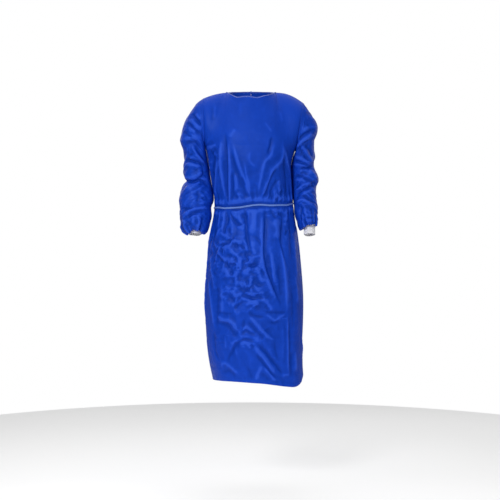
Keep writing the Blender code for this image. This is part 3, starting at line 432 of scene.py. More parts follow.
LEFT_SLEEVE_CREASES = table(
    Crease,
    ([(189, -31), (175, -109), (169, -169), (155, -233)], 3.7, 2.4),
    ([(197, -46), (184, -109), (178, -150)], 5.2, -2.2),
    ([(242, -122), (202, -144), (170, -171)], 4.9, -5.0),
    ([(232, -140), (187, -177), (163, -203)], 4.9, 4.4),
    ([(214, -115), (193, -132)], 8.2, 2.8),
    ([(217, -162), (195, -182), (169, -207)], 4.5, -3.6),
    ([(187, -182), (210, -214), (230, -248)], 4.1, 3.8),
    ([(180, -194), (199, -220), (217, -244)], 4.5, -3.2),
    ([(202, -180), (219, -205), (232, -229)], 4.9, -2.6),
    ([(152, -222), (180, -231), (210, -246), (232, -259)], 4.5, 4.2),
    ([(154, -240), (184, -248), (217, -261)], 4.1, -4.4),
    ([(154, -255), (184, -258), (214, -265)], 4.1, 3.4),
    ([(234, -261), (212, -270), (185, -271)], 4.9, -4.6),
    ([(180, -285), (199, -275), (217, -285)], 4.1, 2.4),
    ([(182, -292), (199, -287), (215, -295)], 4.1, -3.2),
    ([(215, -276), (234, -291), (247, -313)], 6.0, 4.2),
    ([(155, -304), (180, -298), (206, -308), (232, -323)], 4.5, -3.8),
    ([(159, -319), (184, -313), (208, -323)], 4.5, 3.4),
    ([(244, -321), (225, -328)], 4.5, -4.0),
    ([(240, -333), (202, -351), (159, -373)], 4.5, -4.6),
    ([(229, -325), (195, -335), (169, -355)], 4.5, 3.4),
    ([(187, -327), (174, -342), (167, -338)], 3.7, -2.4),
    ([(238, -349), (206, -363), (172, -383)], 5.2, 3.4),
    ([(157, -387), (189, -373), (214, -387), (236, -403)], 4.5, -4.2),
    ([(158, -410), (176, -396), (195, -390), (214, -400), (232, -415)], 4.5, 4.2),
    ([(161, -424), (182, -409)], 4.5, -2.6),
    ([(187, -405), (186, -443), (187, -484)], 5.2, -4.6, 0.2),
    ([(200, -416), (204, -450), (206, -480)], 8.2, 3.2),
    ([(172, -424), (170, -461)], 6.7, 2.8),
    ([(227, -418), (229, -450)], 5.6, -2.2),
    ([(204, -462), (217, -458), (232, -460)], 3.7, -3.0),
    ([(204, -471), (225, -469)], 3.7, 2.0),
    ([(196, -461), (197, -484)], 3.4, -2.0),
)
BACK_CREASES = table(
    Crease,
    ([(-122, -140), (-113, -250), (-99, -404)], 8, 5.0, 0.2),
    ([(-88, -190), (-84, -300), (-77, -404)], 6, -4.5),
    ([(-66, -230), (-60, -330), (-53, -404)], 7, 4.0),
    ([(-31, -280), (-35, -402)], 5, -3.0),
    ([(126, -150), (119, -260), (108, -402)], 8, 5.0),
    ([(101, -200), (97, -310), (91, -402)], 6, -4.5),
    ([(74, -240), (69, -330), (60, -404)], 6.5, 3.8, -0.2),
    ([(46, -290), (38, -402)], 5, -3.2),
    ([(64, -176), (33, -296), (12, -394)], 8, 3.2),
    ([(-52, -166), (-28, -292), (-12, -396)], 9, 3.2),
    ([(20, -200), (8, -260), (14, -330)], 5, -2.2),
    ([(-96, -120), (-60, -148), (-22, -150)], 7, 2.4),
    ([(34, -130), (70, -150), (112, -132)], 6, -2.2),
    ([(-16, -96), (-20, -190)], 6, 1.8),
    ([(22, -372), (40, -386), (62, -382)], 4, -2.6),
    ([(-64, -380), (-40, -390), (-20, -384)], 4, 2.4),
    ([(-101, -418), (-110, -560), (-118, -760)], 8, -6.0, 0.2),
    ([(-128, -420), (-137, -600), (-141, -790)], 9, 5.5),
    ([(-72, -418), (-80, -540), (-77, -700)], 8, 5.0, -0.2),
    ([(-49, -418), (-53, -520), (-50, -566)], 5, -4.0),
    ([(-24, -420), (-26, -600), (-32, -820)], 12, 5.0),
    ([(14, -418), (19, -520), (17, -640)], 6, -5.0),
    ([(43, -418), (50, -560), (57, -720)], 8, 5.5, 0.3),
    ([(76, -416), (85, -600), (93, -860)], 7, -6.0),
    ([(108, -414), (123, -600), (131, -900)], 11, 6.0),
    ([(140, -412), (153, -560), (159, -700)], 8, -4.0),
    ([(-88, -556), (-62, -572), (-33, -565)], 4, -3.4),
    ([(-84, -577), (-52, -590), (-30, -584)], 4, 3.0),
    ([(31, -600), (60, -587), (88, -597)], 4, -3.4),
    ([(36, -617), (68, -605), (84, -612)], 4, 3.0),
    ([(-8, -636), (20, -658), (53, -649)], 4, -2.8),
    ([(-60, -612), (-44, -640), (-47, -668)], 4, 2.6),
    ([(-118, -688), (-12, -690), (108, -693)], 3.4, -2.2),
    ([(-102, -699), (-82, -722), (-60, -700)], 3.4, 2.4),
    ([(-64, -694), (-65, -860), (-67, -1052)], 3.4, 2.2),
    ([(92, -700), (93, -880), (95, -1052)], 4, -2.0),
    ([(-31, -770), (12, -802), (62, -852)], 4.5, 4.2, 0.2),
    ([(-40, -790), (2, -826), (52, -884)], 4.5, -3.4),
    ([(-112, -858), (-70, -888), (-22, -898)], 5, 3.4),
    ([(-104, -880), (-66, -906), (-28, -914)], 4.5, -2.6),
    ([(104, -896), (62, -960), (42, -1042)], 5, -3.0),
    ([(112, -930), (78, -985), (66, -1050)], 5, 2.8),
    ([(-58, -958), (-2, -1008), (38, -1060)], 6, 4.0, -0.2),
    ([(-131, -950), (-101, -1000), (-91, -1058)], 5, 3.0),
    ([(132, -960), (140, -1010), (134, -1060)], 6, -2.6),
)
LEFT_SIDE_CREASES = table(
    Crease,
    ([(-42, -236), (-31, -330), (-36, -398)], 7, -4.0),
    ([(34, -230), (29, -320), (37, -398)], 7, 4.0),
    ([(-8, -250), (-12, -330), (-4, -396)], 6, 2.6),
    ([(-52, -420), (-66, -600), (-70, -860)], 9, 5.0, 0.2),
    ([(-21, -425), (-27, -560), (-20, -650)], 7, -4.5),
    ([(24, -425), (33, -600), (30, -800)], 10, 5.0),
    ([(55, -425), (66, -560), (72, -700)], 7, -4.5),
    ([(-82, -652), (-30, -668), (12, -662)], 4, -2.6),
    ([(-6, -760), (22, -842), (25, -940)], 6, -3.0),
    ([(-62, -900), (-22, -962), (-2, -1052)], 5, 3.2),
    ([(71, -860), (61, -960), (72, -1052)], 7, 3.0),
    ([(-40, -520), (-16, -538), (14, -530)], 4.5, -2.8),
)
RIGHT_SIDE_CREASES = table(
    Crease,
    ([(-38, -226), (-44, -320), (-32, -402)], 7, 4.0),
    ([(28, -236), (36, -310), (30, -404)], 6, -4.2),
    ([(2, -260), (-6, -350), (-2, -404)], 7, 2.8),
    ([(-58, -432), (-64, -580), (-76, -800)], 8, -4.8),
    ([(-30, -432), (-36, -620), (-33, -880)], 10, 5.0, -0.2),
    ([(8, -432), (12, -540), (6, -640)], 6, -4.2),
    ([(40, -432), (52, -600), (50, -820)], 10, 5.0),
    ([(-70, -690), (-20, -684), (30, -690)], 3.6, -2.4),
    ([(-20, -712), (16, -770), (34, -850)], 5, 3.0),
    ([(-64, -880), (-44, -960), (-52, -1050)], 6, -2.8),
    ([(22, -900), (6, -970), (18, -1052)], 6, 3.0),
    ([(66, -500), (40, -520), (14, -512)], 4.5, 2.6),
)
RIGHT_SLEEVE_BACK_CREASES = table(
    Crease,
    ([(-188, -40), (-190, -110), (-184, -170)], 6, -4.6),
    ([(-236, -96), (-212, -128), (-186, -146)], 5, 4.0),
    ([(-250, -128), (-222, -158), (-188, -178)], 5, -4.4),
    ([(-258, -168), (-226, -184), (-182, -213)], 5, 4.2),
    ([(-262, -230), (-226, -240), (-174, -231)], 4.5, -4.8, 0.2),
    ([(-250, -262), (-216, -260), (-178, -249)], 6, 3.6),
    ([(-238, -290), (-210, -303), (-170, -291)], 5, -3.8),
    ([(-246, -315), (-210, -318), (-162, -341)], 4.5, -5.4),
    ([(-238, -342), (-206, -350), (-168, -371)], 6, 4.0),
    ([(-262, -400), (-231, -385), (-192, -397)], 6, -3.2),
    ([(-260, -429), (-222, -419), (-172, -412)], 5, 4.0),
    ([(-264, -446), (-221, -439), (-178, -451)], 4.5, -4.2),
    ([(-250, -470), (-226, -461), (-200, -469)], 5, 3.0),
    ([(-197, -474), (-190, -500)], 5, -3.0),
    ([(-222, -478), (-219, -506)], 5, 3.0),
    ([(-241, -476), (-236, -508)], 4, -2.6),
)
LEFT_SLEEVE_BACK_CREASES = table(
    Crease,
    ([(190, -60), (194, -120), (184, -176)], 6, 3.4),
    ([(239, -110), (212, -136), (180, -170)], 5, -4.6),
    ([(244, -136), (214, -164), (178, -196)], 5, 4.2),
    ([(238, -170), (208, -186), (172, -216)], 4.5, -4.0),
    ([(200, -150), (220, -196), (238, -226)], 4.5, 3.4),
    ([(240, -240), (206, -246), (168, -262)], 4.5, -5.2, 0.2),
    ([(236, -262), (204, -266), (170, -282)], 5, 4.0),
    ([(248, -290), (216, -288), (172, -306)], 5, -3.8),
    ([(252, -316), (214, -312), (174, -330)], 5, 4.2),
    ([(244, -338), (214, -348), (172, -366)], 4.5, -5.0),
    ([(238, -366), (208, -376), (172, -392)], 6, 3.6),
    ([(242, -402), (210, -396), (178, -420)], 5, -3.6),
    ([(240, -428), (214, -426), (184, -446)], 6, 3.2),
    ([(200, -440), (198, -482)], 5, -3.6),
    ([(224, -446), (226, -482)], 6, 3.2),
    ([(238, -450), (238, -480)], 4, -2.4),
)
FRONT_CREASES = BODICE_CREASES + SKIRT_CREASES
SLEEVE_CREASES = {
    "right": (RIGHT_SLEEVE_CREASES, RIGHT_SLEEVE_BACK_CREASES),
    "left": (LEFT_SLEEVE_CREASES, LEFT_SLEEVE_BACK_CREASES),
}

# Rounded bulges of the front: middle, radius and height
Bulge = namedtuple("Bulge", "x z radius height")
FRONT_BULGES = table(
    Bulge,
    (76, -156, 56, 3.5),
    (-66, -160, 56, 3.0),
    (6, -330, 26, 2.5),
    (-90, -560, 30, 2.5),
    (96, -470, 24, 3.5),
)

# Where the cloth is crushed into small facets: middle, radii and strength of each patch of the front view
Crush = namedtuple("Crush", "x z radius_x radius_z strength")
FRONT_CRUSHES = table(
    Crush,
    (-90, -590, 58, 80, 1.0),
    (-5, -640, 50, 50, 0.9),
    (-10, -730, 70, 60, 1.0),
    (-50, -440, 40, 34, 0.8),
    (95, -430, 50, 30, 0.5),
    (90, -375, 40, 26, 0.6),
    (-40, -385, 40, 26, 0.6),
    (-20, -900, 60, 50, 0.5),
    (-150, -230, 40, 60, 0.5),
)

# Angles between which the creases of the front give way to those of the side, and these to those of the back
FRONT_TO_SIDE = (66, 84)
SIDE_TO_BACK = (98, 116)

# Relief of the body that is worked out and not listed. Sizes are those of its blobs, round the body and up.
BODY_RADIUS = 170 * MM
CRUSH_HEIGHT = 4.2 * MM
CRUSH_SIZE = 27 * MM
FRONT_CRUSHED = 0.14
SIDE_CRUSHED = 0.20
BACK_CRUSHED = 0.22
WAVE_HEIGHT = 5.0 * MM
WAVE_SIZES = (75 * MM, 340 * MM)
PUCKER_HEIGHT = 4.0 * MM
PUCKER_REACH = 45 * MM
PUCKER_SIZES = (13 * MM, 300 * MM)
FINE_PUCKER_SIZES = (6 * MM, 120 * MM)
# The soft rolls over and under the belt: how high, how far from it and how wide
ROLL_HEIGHT = 2.6 * MM
OVER_ROLL = (20 * MM, 13 * MM)
UNDER_ROLL = (-18 * MM, 12 * MM)
ROLL_SIZES = (40 * MM, 500 * MM)
BELT_PRESS = 13 * MM
HEM_FOLD_HEIGHT = 0.35 * MM
HEM_FOLD_ENDS = (10 * MM, 12.5 * MM)
WELD_DEPTH = 0.35 * MM
WELD_ANGLE = 2.4
WELD_SPREAD = math.sqrt(0.5)

# Relief of the sleeves that is worked out: crumples round the arm, crushed cloth and gathers
ARM_RADIUS = 52 * MM
ARM_LENGTH = 560 * MM
RING_HEIGHT = 5.0 * MM
RING_SIZE = 30 * MM
SLEEVE_CRUSH_HEIGHT = 1.7 * MM
SLEEVE_CRUSH_SIZE = 26 * MM
# Gathers over a cuff: how many round the arm, how high in millimetres, and where they start, in radians
GATHERS = ((7, 1.6, 0.4), (11, 1.1, 2.0), (17, 0.7, 1.1))
SLEEVE_SEEDS = {"right": 21, "left": 37}
CUFF_SEEDS = {"right": 51, "left": 67}

# How many rows and columns of points each surface has
SKIRT_ROWS = 221
HEM_ROWS = 9
YOKE_ROWS = 56
FRONT_COLUMNS = 165
BACK_COLUMNS = 111
SLEEVE_ROWS = 200
SLEEVE_COLUMNS = 128
CUFF_ROWS = 44
POINTS_PER_RIB = 8
NECK_POINTS = 420
BELT_POINTS = 361
TIE_ROWS = 90
WRAP_POINTS = 96
YOKE_SAMPLES = 60
POINTS_PER_STITCH = 10

# Up to what height over the cloth around it a point counts as creased, and how often that cloth is averaged
STANDING_RANGE = 1.6 * MM
AVERAGINGS = 30

# Where each sleeve lies against the body, by the share of its length, and how far apart their middles stay
# there: everywhere, what is added along the lower arm, and what is added beside the belt
TOUCH_SHARES = {"right": (0.07, 0.62), "left": (0.10, 0.80)}
TOUCH_CLEARANCE = 2.9 * MM
LOW_CLEARANCES = {"right": 1.3 * MM, "left": 0.3 * MM}
BELT_CLEARANCE = 1.8 * MM
BELT_CLEARANCE_REACH = 18 * MM
ARMHOLE_SHARE = 0.07

# Half the gap between the back panels' edges at the neck, where the tie holds them together
NECK_GAP_ANGLE = 0.25
# How far the belt's ends stop short of the middle behind, where its knot is
BELT_END_ANGLE = 2.8

# A cuff's surface, in millimetres: the depth of its ribs, how far it wanders, how far its edge turns in and
# waves, its waist, and how far it lies inside its measured size
RIB_DEPTH = 0.9
CUFF_WANDER = 1.1
CUFF_EDGE_TURN = 0.5
CUFF_EDGE_WAVE = 0.8
CUFF_WAIST = 0.24
CUFF_INSET = 0.8
CUFF_WALL = 1.1 * MM

# The tapes: half their widths and depths, and how far the belt's middle lies off the cloth
TIE_HALF_WIDTH = 4 * MM
TIE_HALF_DEPTH = 0.45 * MM
WRAP_HALF_WIDTH = 2.7 * MM
WRAP_HALF_DEPTH = 0.75 * MM
BINDING_HALF_DEPTH = 1.05 * MM
BELT_HALF_DEPTH = 0.55 * MM
BELT_LIFT = CAD_WALL + 1.2 * MM
STITCH_PITCH = 3.4 * MM
STITCH_RADIUS = 0.42 * MM

# A knot's half sizes, and its ends: how long they are, and how far apart, as angles round the body
Tie = namedtuple("Tie", "half_width half_depth half_height left_length right_length top_spread bottom_spread")
BELT_TIE = Tie(8.5, 5, 6.5, 158, 141, 2.2, 6.0)
NECK_TIE = Tie(7.5, 4.5, 6, 92, 80, 3.6, 7.5)
# The wraps of a knot: how far each turns, how far over the middle it lies, and its share of the size
KnotWrap = namedtuple("KnotWrap", "tilt rise size")
KNOT_WRAPS = table(KnotWrap, (0.55, 0.0, 1.0), (-0.5, 1.3, 0.93), (1.45, -0.9, 0.86))

# Pitches of the cloth's bond dots, the knit's stitches and the tapes' weave, across the cloth and along it
DOT_PITCHES = (1.6 * MM, 2.2 * MM)
STITCH_PITCHES = (2.6 * MM, 1.4 * MM)
WEAVE_PITCHES = (0.7 * MM, 0.9 * MM)

# The studio: the camera's lens and its place beside the middle, the floor's disc, and the lights
CAMERA_LENS = 75.8
CAMERA_SENSOR = 36.0
CAMERA_X = -0.004
GOWN_MIDDLE_Z = -0.578
FLOOR_RADII = (2.3, 2.3, 0.2)
FLOOR_LEVELS = (-0.01, 0, 0)
FLOOR_POINTS = 128
StudioLight = namedtuple("StudioLight", "name place target size power")
STUDIO_LIGHTS = table(
    StudioLight,
    ("key", (-1.5, -3.6, 1.3), (0, 0, GOWN_MIDDLE_Z - 0.1), 1.0, "key_power"),
    ("front", (1.6, -3.9, 0.5), (0, 0, GOWN_MIDDLE_Z), 2.4, "fill_power"),
    ("back_right", (-2.4, 3.0, 0.9), (0, 0, GOWN_MIDDLE_Z), 1.8, "back_power"),
    ("back_left", (2.8, 2.6, 0.6), (0, 0, GOWN_MIDDLE_Z), 1.8, "back_power"),
    ("top", (0, 1.5, 3.2), (0, 1.5, 0), 6.0, "top_power"),
)


def hermite(low, high, way_low, way_high, u):
    """The cubic from low to high that sets off along way_low and arrives along way_high, at shares u."""
    return (
        (2 * u**3 - 3 * u**2 + 1) * low
        + (u**3 - 2 * u**2 + u) * way_low
        + (3 * u**2 - 2 * u**3) * high
        + (u**3 - u**2) * way_high
    )


def curve_through(knots, values, at):
    """Cubic Hermite curve through the values at rising knots, its slopes taken from the neighbours."""
    knots, values = np.asarray(knots, float), np.asarray(values, float)
    slopes = np.gradient(values, knots, axis=0)
    at = np.clip(at, knots[0], knots[-1])
    i = np.clip(np.searchsorted(knots, at, side="right") - 1, 0, len(knots) - 2)
    span = knots[i + 1] - knots[i]
    u = (at - knots[i]) / span
    if values.ndim > 1:
        u, span = u[..., None], span[..., None]
    return hermite(values[i], values[i + 1], span * slopes[i], span * slopes[i + 1], u)


def unit(vectors):
    """The vectors at length 1."""
    return vectors / np.maximum(np.linalg.norm(vectors, axis=-1, keepdims=True), 1e-12)


def smooth(x, low, high):
    """0 at low and 1 at high, with level ends."""
    u = np.clip((x - low) / (high - low), 0, 1)
    return u * u * (3 - 2 * u)


def bell(x, middle, spread):
    """A bell from 0 to 1: e to the power of minus the squared distance from its middle, in spreads."""
    return np.exp(-(((x - middle) / spread) ** 2))


def body_size(column, z):
    """One column of the body's section table at the heights z, in metres."""
    heights = [s.z * MM for s in reversed(BODY_SECTIONS)]
    sizes = [getattr(s, column) * MM for s in reversed(BODY_SECTIONS)]
    return curve_through(heights, sizes, z)


def at_angle(line, angle):
    """A line's height at an angle, in metres, by its table of angles and millimetres."""
    angles, heights = zip(*line)
    turned = (np.asarray(angle, float) + 180) % 360 - 180
    return curve_through(angles, np.array(heights) * MM, turned)


def belt_height(angle):
    """The height of the belt's middle line at an angle from the front's middle."""
    return at_angle(BELT_LINE, angle)


def hem_drop(angle):
    """How far the hem hangs under its level at an angle from the front's middle, most at the front's left."""
    return at_angle(HEM_LINE, angle)


def signed_power(value, power):
    """The power of the size, with the value's own sign."""
    return np.sign(value) * np.abs(value) ** power


def body_ring(angle, z):
    """The level section at z: a superellipse between the side edges, with its own front and back depth."""
    right, left = body_size("right_edge", z), body_size("left_edge", z)
    cosine = np.cos(np.radians(angle))
    depth = np.where(cosine > 0, -body_size("front", z), body_size("back", z))
    across = signed_power(np.sin(np.radians(angle)), 2 / SECTION_POWER)
    along = signed_power(cosine, 2 / SECTION_POWER)
    return np.stack([(left + right) / 2 + (left - right) / 2 * across, -depth * along, z], axis=-1)


def armhole_point(side, turn):
    """The armhole's oval: turn 0 at the armpit, 90 in front, 180 at the shoulder tip, 270 behind."""
    hole = ARMHOLES[side]
    u = (1 - np.cos(np.radians(turn))) / 2
    x = hole.armpit_x + (hole.tip_x - hole.armpit_x) * u
    z = hole.armpit_z + (hole.tip_z - hole.armpit_z) * u
    y = -hole.half_depth * np.sin(np.radians(turn))
    return np.stack([x, y, z], axis=-1) * MM


def neck_point(turn):
    """The neck seam: an oval, turn 0 at the front's middle and 90 at the left neck point. It rises to the
    sides by a power of the cosine, and has two bell-shaped dips in front."""
    cosine, sine = np.cos(np.radians(turn)), np.sin(np.radians(turn))
    y = np.where(cosine > 0, NECK_FRONT_Y, -NECK_BACK_Y) * cosine
    rise = np.where(cosine > 0, NECK_FRONT_Z - NECK_SIDE_Z, NECK_BACK_Z - NECK_SIDE_Z)
    z = NECK_SIDE_Z + rise * np.abs(cosine) ** NECK_POWER
    for dip in NECK_DIPS:
        z = z - dip.depth * MM * bell(turn, dip.turn, dip.spread)
    return np.stack([NECK_HALF_WIDTH * sine, y, z], axis=-1)


def top_edge(angle):
    """The body's top edge: shoulder seams from tip to neck point, bent by a sine, and the neck seam."""
    angle = np.asarray(angle, float)
    size = np.abs(angle)
    sign = np.where(angle < 0, -1.0, 1.0)
    front_turn = size / NECK_POINT_ANGLE * 90
    back_turn = 90 + (size - (180 - NECK_POINT_ANGLE)) / NECK_POINT_ANGLE * 90
    neck = neck_point(sign * np.where(size < SIDE_ANGLE, front_turn, back_turn))
    over = SIDE_ANGLE - np.abs(size - SIDE_ANGLE) - NECK_POINT_ANGLE
    share = np.clip(over / (SIDE_ANGLE - NECK_POINT_ANGLE), 0, 1)
    seam = np.zeros(angle.shape + (3,))
    for side, way in WAYS.items():
        tip, end = armhole_point(side, np.array(180.0)), neck_point(np.array(90.0 * way))
        line = end + (tip - end) * share[..., None]
        line[..., 2] += SHOULDER_SAG[side] * np.sin(math.pi * share)
        seam = np.where((sign == way)[..., None], line, seam)
    return np.where((share > 0)[..., None], seam, neck)


def rise_direction(angle, front):
    """The way the cloth runs where it reaches the top edge: level over the shoulders, steep at the neck."""
    size = np.abs(angle)
    from_middle = np.minimum(size, np.abs(180 - size))
    level = smooth(from_middle, 15, NECK_POINT_ANGLE + 8)
    inward = 1.0 if front else -1.0
    return unit(np.stack([0 * size, inward * (0.35 + 0.65 * level), 0.9 - 0.86 * level], axis=-1))


def eased_top(angle, share, front):
    """The top edge and the way the cloth reaches it, averaged over five points of the edge that lie further
    apart the lower down a point is."""
    low, high = (-SIDE_ANGLE, SIDE_ANGLE) if front else (SIDE_ANGLE, 360 - SIDE_ANGLE)
    turned = angle if front else np.asarray(angle) % 360
    edge, way = 0, 0
    for step in (-2, -1, 0, 1, 2):
        near = np.clip(turned + step * CORNER_EASE_ANGLE * (1 - share), low, high)
        near = np.where(near > 180, near - 360, near)
        edge = edge + top_edge(near) / 5
        way = way + rise_direction(near, front) / 5
    return edge, way


def armpit_ring(angle):
    """The section through both armpits, which tilts a little from one to the other."""
    ring = body_ring(angle, np.full(angle.shape, ARMPIT_Z))
    ring[..., 2] += ARMPIT_TILT * np.sin(np.radians(angle))
    return ring


def yoke_point(angle, share, front):
    """The front or back over the armpits: a cubic loft from the armpit section (share 0) to the top edge
    (share 1), eased at its sides onto the armhole."""
    way_up = np.array([0, 0, YOKE_RISE])

    def lofted(at):
        """The loft alone."""
        top, reach = eased_top(at, share, front)
        return hermite(armpit_ring(at), top, way_up, YOKE_REACH * reach, share[..., None])

    point = lofted(angle)
    near = 1 - smooth(np.abs(np.abs(angle) - SIDE_ANGLE), 0, ARMHOLE_EASE_ANGLE)
    for side, way in WAYS.items():
        edge = lofted(np.full(share.shape, way * SIDE_ANGLE))
        pull = armhole_point(side, 180 * share if front else 360 - 180 * share) - edge
        point = point + np.where(np.sign(angle) == way, near, 0)[..., None] * pull
    return point


def skirt_point(angle, z):
    """The body under the armpits: the level section, its rows bent to follow hem, belt and armpits."""
    dropped = z - hem_drop(angle) * smooth(z, HEM_BEND_Z, HEM_Z)
    point = body_ring(angle, dropped)
    by_belt = smooth(z, *UNDER_BELT_Z) * (1 - smooth(z, *OVER_BELT_Z))
    point[..., 2] += (belt_height(angle) - BELT_Z) * by_belt
    point[..., 2] += ARMPIT_TILT * np.sin(np.radians(angle)) * smooth(z, ARMPIT_BEND_Z, ARMPIT_Z)
    return point


def noise(x, y, seed):
    """Smooth noise from 0 to 1: values hashed by a sine at whole x and y, blended in between."""
    whole_x, whole_y = np.floor(x), np.floor(y)
    u, v = smooth(x - whole_x, 0, 1), smooth(y - whole_y, 0, 1)

    def corner(i, j):
        """The hashed value at a corner of the square round the point."""
        wave = np.sin((whole_x + i) * 127.1 + (whole_y + j) * 311.7 + seed * 74.7)
        return np.modf(np.abs(wave) * 43758.5453)[0]

    low = corner(0, 0) * (1 - u) + corner(1, 0) * u
    high = corner(0, 1) * (1 - u) + corner(1, 1) * u
    return low * (1 - v) + high * v


def crumple(x, y, size, seed):
    """Crushed cloth from -1 to 1: ridges where noise crosses its middle, at three sizes, on warped axes."""
    bent_x = x / size + 1.2 * noise(x / size * 0.6, y / size * 0.6, seed + 1)
    bent_y = y / size + 1.2 * noise(x / size * 0.6, y / size * 0.6, seed + 2)
    total = 0
    for finer, weight in ((1.0, 0.6), (2.1, 0.28), (4.3, 0.12)):
        valley = np.abs(2 * noise(bent_x * finer, bent_y * finer, seed + 3 + finer) - 1) ** 0.8
        total = total + weight * (1 - 2 * valley)
    return total


def hill(x, z, middle_x, middle_z, radius_x, radius_z):
    """A rounded hill from 0 to 1 on the front view: the product of a bell across it and one up it."""
    return bell(x, middle_x * MM, radius_x * MM) * bell(z, middle_z * MM, radius_z * MM)


def blobs(x, y, sizes, seed):
    """Noise from -0.5 to 0.5 whose blobs have these sizes."""
    return noise(x / sizes[0], y / sizes[1], seed) - 0.5


def relief(across, up, creases):
    """The sum of the creases at the places (across, up) of their view. Across its path a crease is a bell
    with long tails, leaning to one side; along it, it rises over the first part and falls over the last."""
    total = np.zeros(across.shape)
    for crease in creases:
        points = np.array(crease.points, float) * MM
        if len(points) > 2:
            knots = np.arange(len(points))
            points = curve_through(knots, points, np.linspace(0, len(points) - 1, 3 * len(points) - 2))
        width = crease.width * MM
        low, high = points.min(axis=0) - 5 * width, points.max(axis=0) + 5 * width
        near = (across > low[0]) & (across < high[0]) & (up > low[1]) & (up < high[1])
        near_x, near_z = across[near], up[near]
        if not len(near_x):
            continue
        steps = np.linalg.norm(np.diff(points, axis=0), axis=1)
        starts = np.concatenate([[0], np.cumsum(steps)])
        nearest, along, side = np.full(near_x.shape, np.inf), np.zeros(near_x.shape), np.zeros(near_x.shape)
        for (x0, z0), (x1, z1), step, start in zip(points[:-1], points[1:], steps, starts):
            way_x, way_z = (x1 - x0) / step, (z1 - z0) / step
            run = np.clip((near_x - x0) * way_x + (near_z - z0) * way_z, 0, step)
            off_x, off_z = near_x - x0 - run * way_x, near_z - z0 - run * way_z
            away = np.hypot(off_x, off_z)
            nearer = away < nearest
            nearest = np.where(nearer, away, nearest)
            along = np.where(nearer, (start + run) / starts[-1], along)
            side = np.where(nearer, np.sign(way_x * off_z - way_z * off_x), side)
        widths = nearest / (width * (1 + crease.lean * side))
        ends = smooth(along, -0.06, 0.28) * (1 - smooth(along, 0.72, 1.06))
        total[near] += crease.height * MM * ends * np.exp(-widths * widths / (0.45 + widths))
    return total


def grid_normals(grid, closed=False):
    """Unit normals of a grid of rows and columns: the cross product of its steps across and up, which points
    out where the columns run to the wearer's left in front."""
    if closed:
        across = np.roll(grid, -1, axis=1) - np.roll(grid, 1, axis=1)
    else:
        across = np.gradient(grid, axis=1)
    return unit(np.cross(across, np.gradient(grid, axis=0)))


def body_heights():
    """Heights of the rows under the armpits, hem first, close together over the stitched hem."""
    hem_top = HEM_Z + 15 * MM
    hem = np.linspace(HEM_Z, hem_top, HEM_ROWS)
    return np.concatenate([hem, np.linspace(hem_top, ARMPIT_Z, SKIRT_ROWS)[1:]])


FRONT_ANGLES = np.linspace(-SIDE_ANGLE, SIDE_ANGLE, FRONT_COLUMNS)


def back_angles(share):
    """The columns' angles in the row at this share of the yoke, from the side seam to the free edge, which
    overlaps the other panel but for the neck, where it is tied."""
    reach = BACK_OVERLAP_ANGLE - (BACK_OVERLAP_ANGLE + NECK_GAP_ANGLE) * smooth(share, 0.25, 0.97)
    return np.linspace(SIDE_ANGLE, 180 + reach, BACK_COLUMNS)


def panel_base(angles_of, front):
    """The smooth panel, rows from hem to top edge, with each point's angle and its row's yoke share."""
    heights = body_heights()
    under = angles_of(0.0)
    angle, z = np.meshgrid(under, heights)
    low = skirt_point(angle, z)
    shares = np.arange(1, YOKE_ROWS + 1) / YOKE_ROWS
    yoke_angle = np.array([angles_of(share) for share in shares])
    share = np.repeat(shares[:, None], len(under), axis=1)
    high = yoke_point(yoke_angle, share, front)
    return np.concatenate([low, high]), np.concatenate([angle, yoke_angle]), np.concatenate([0 * z, share])


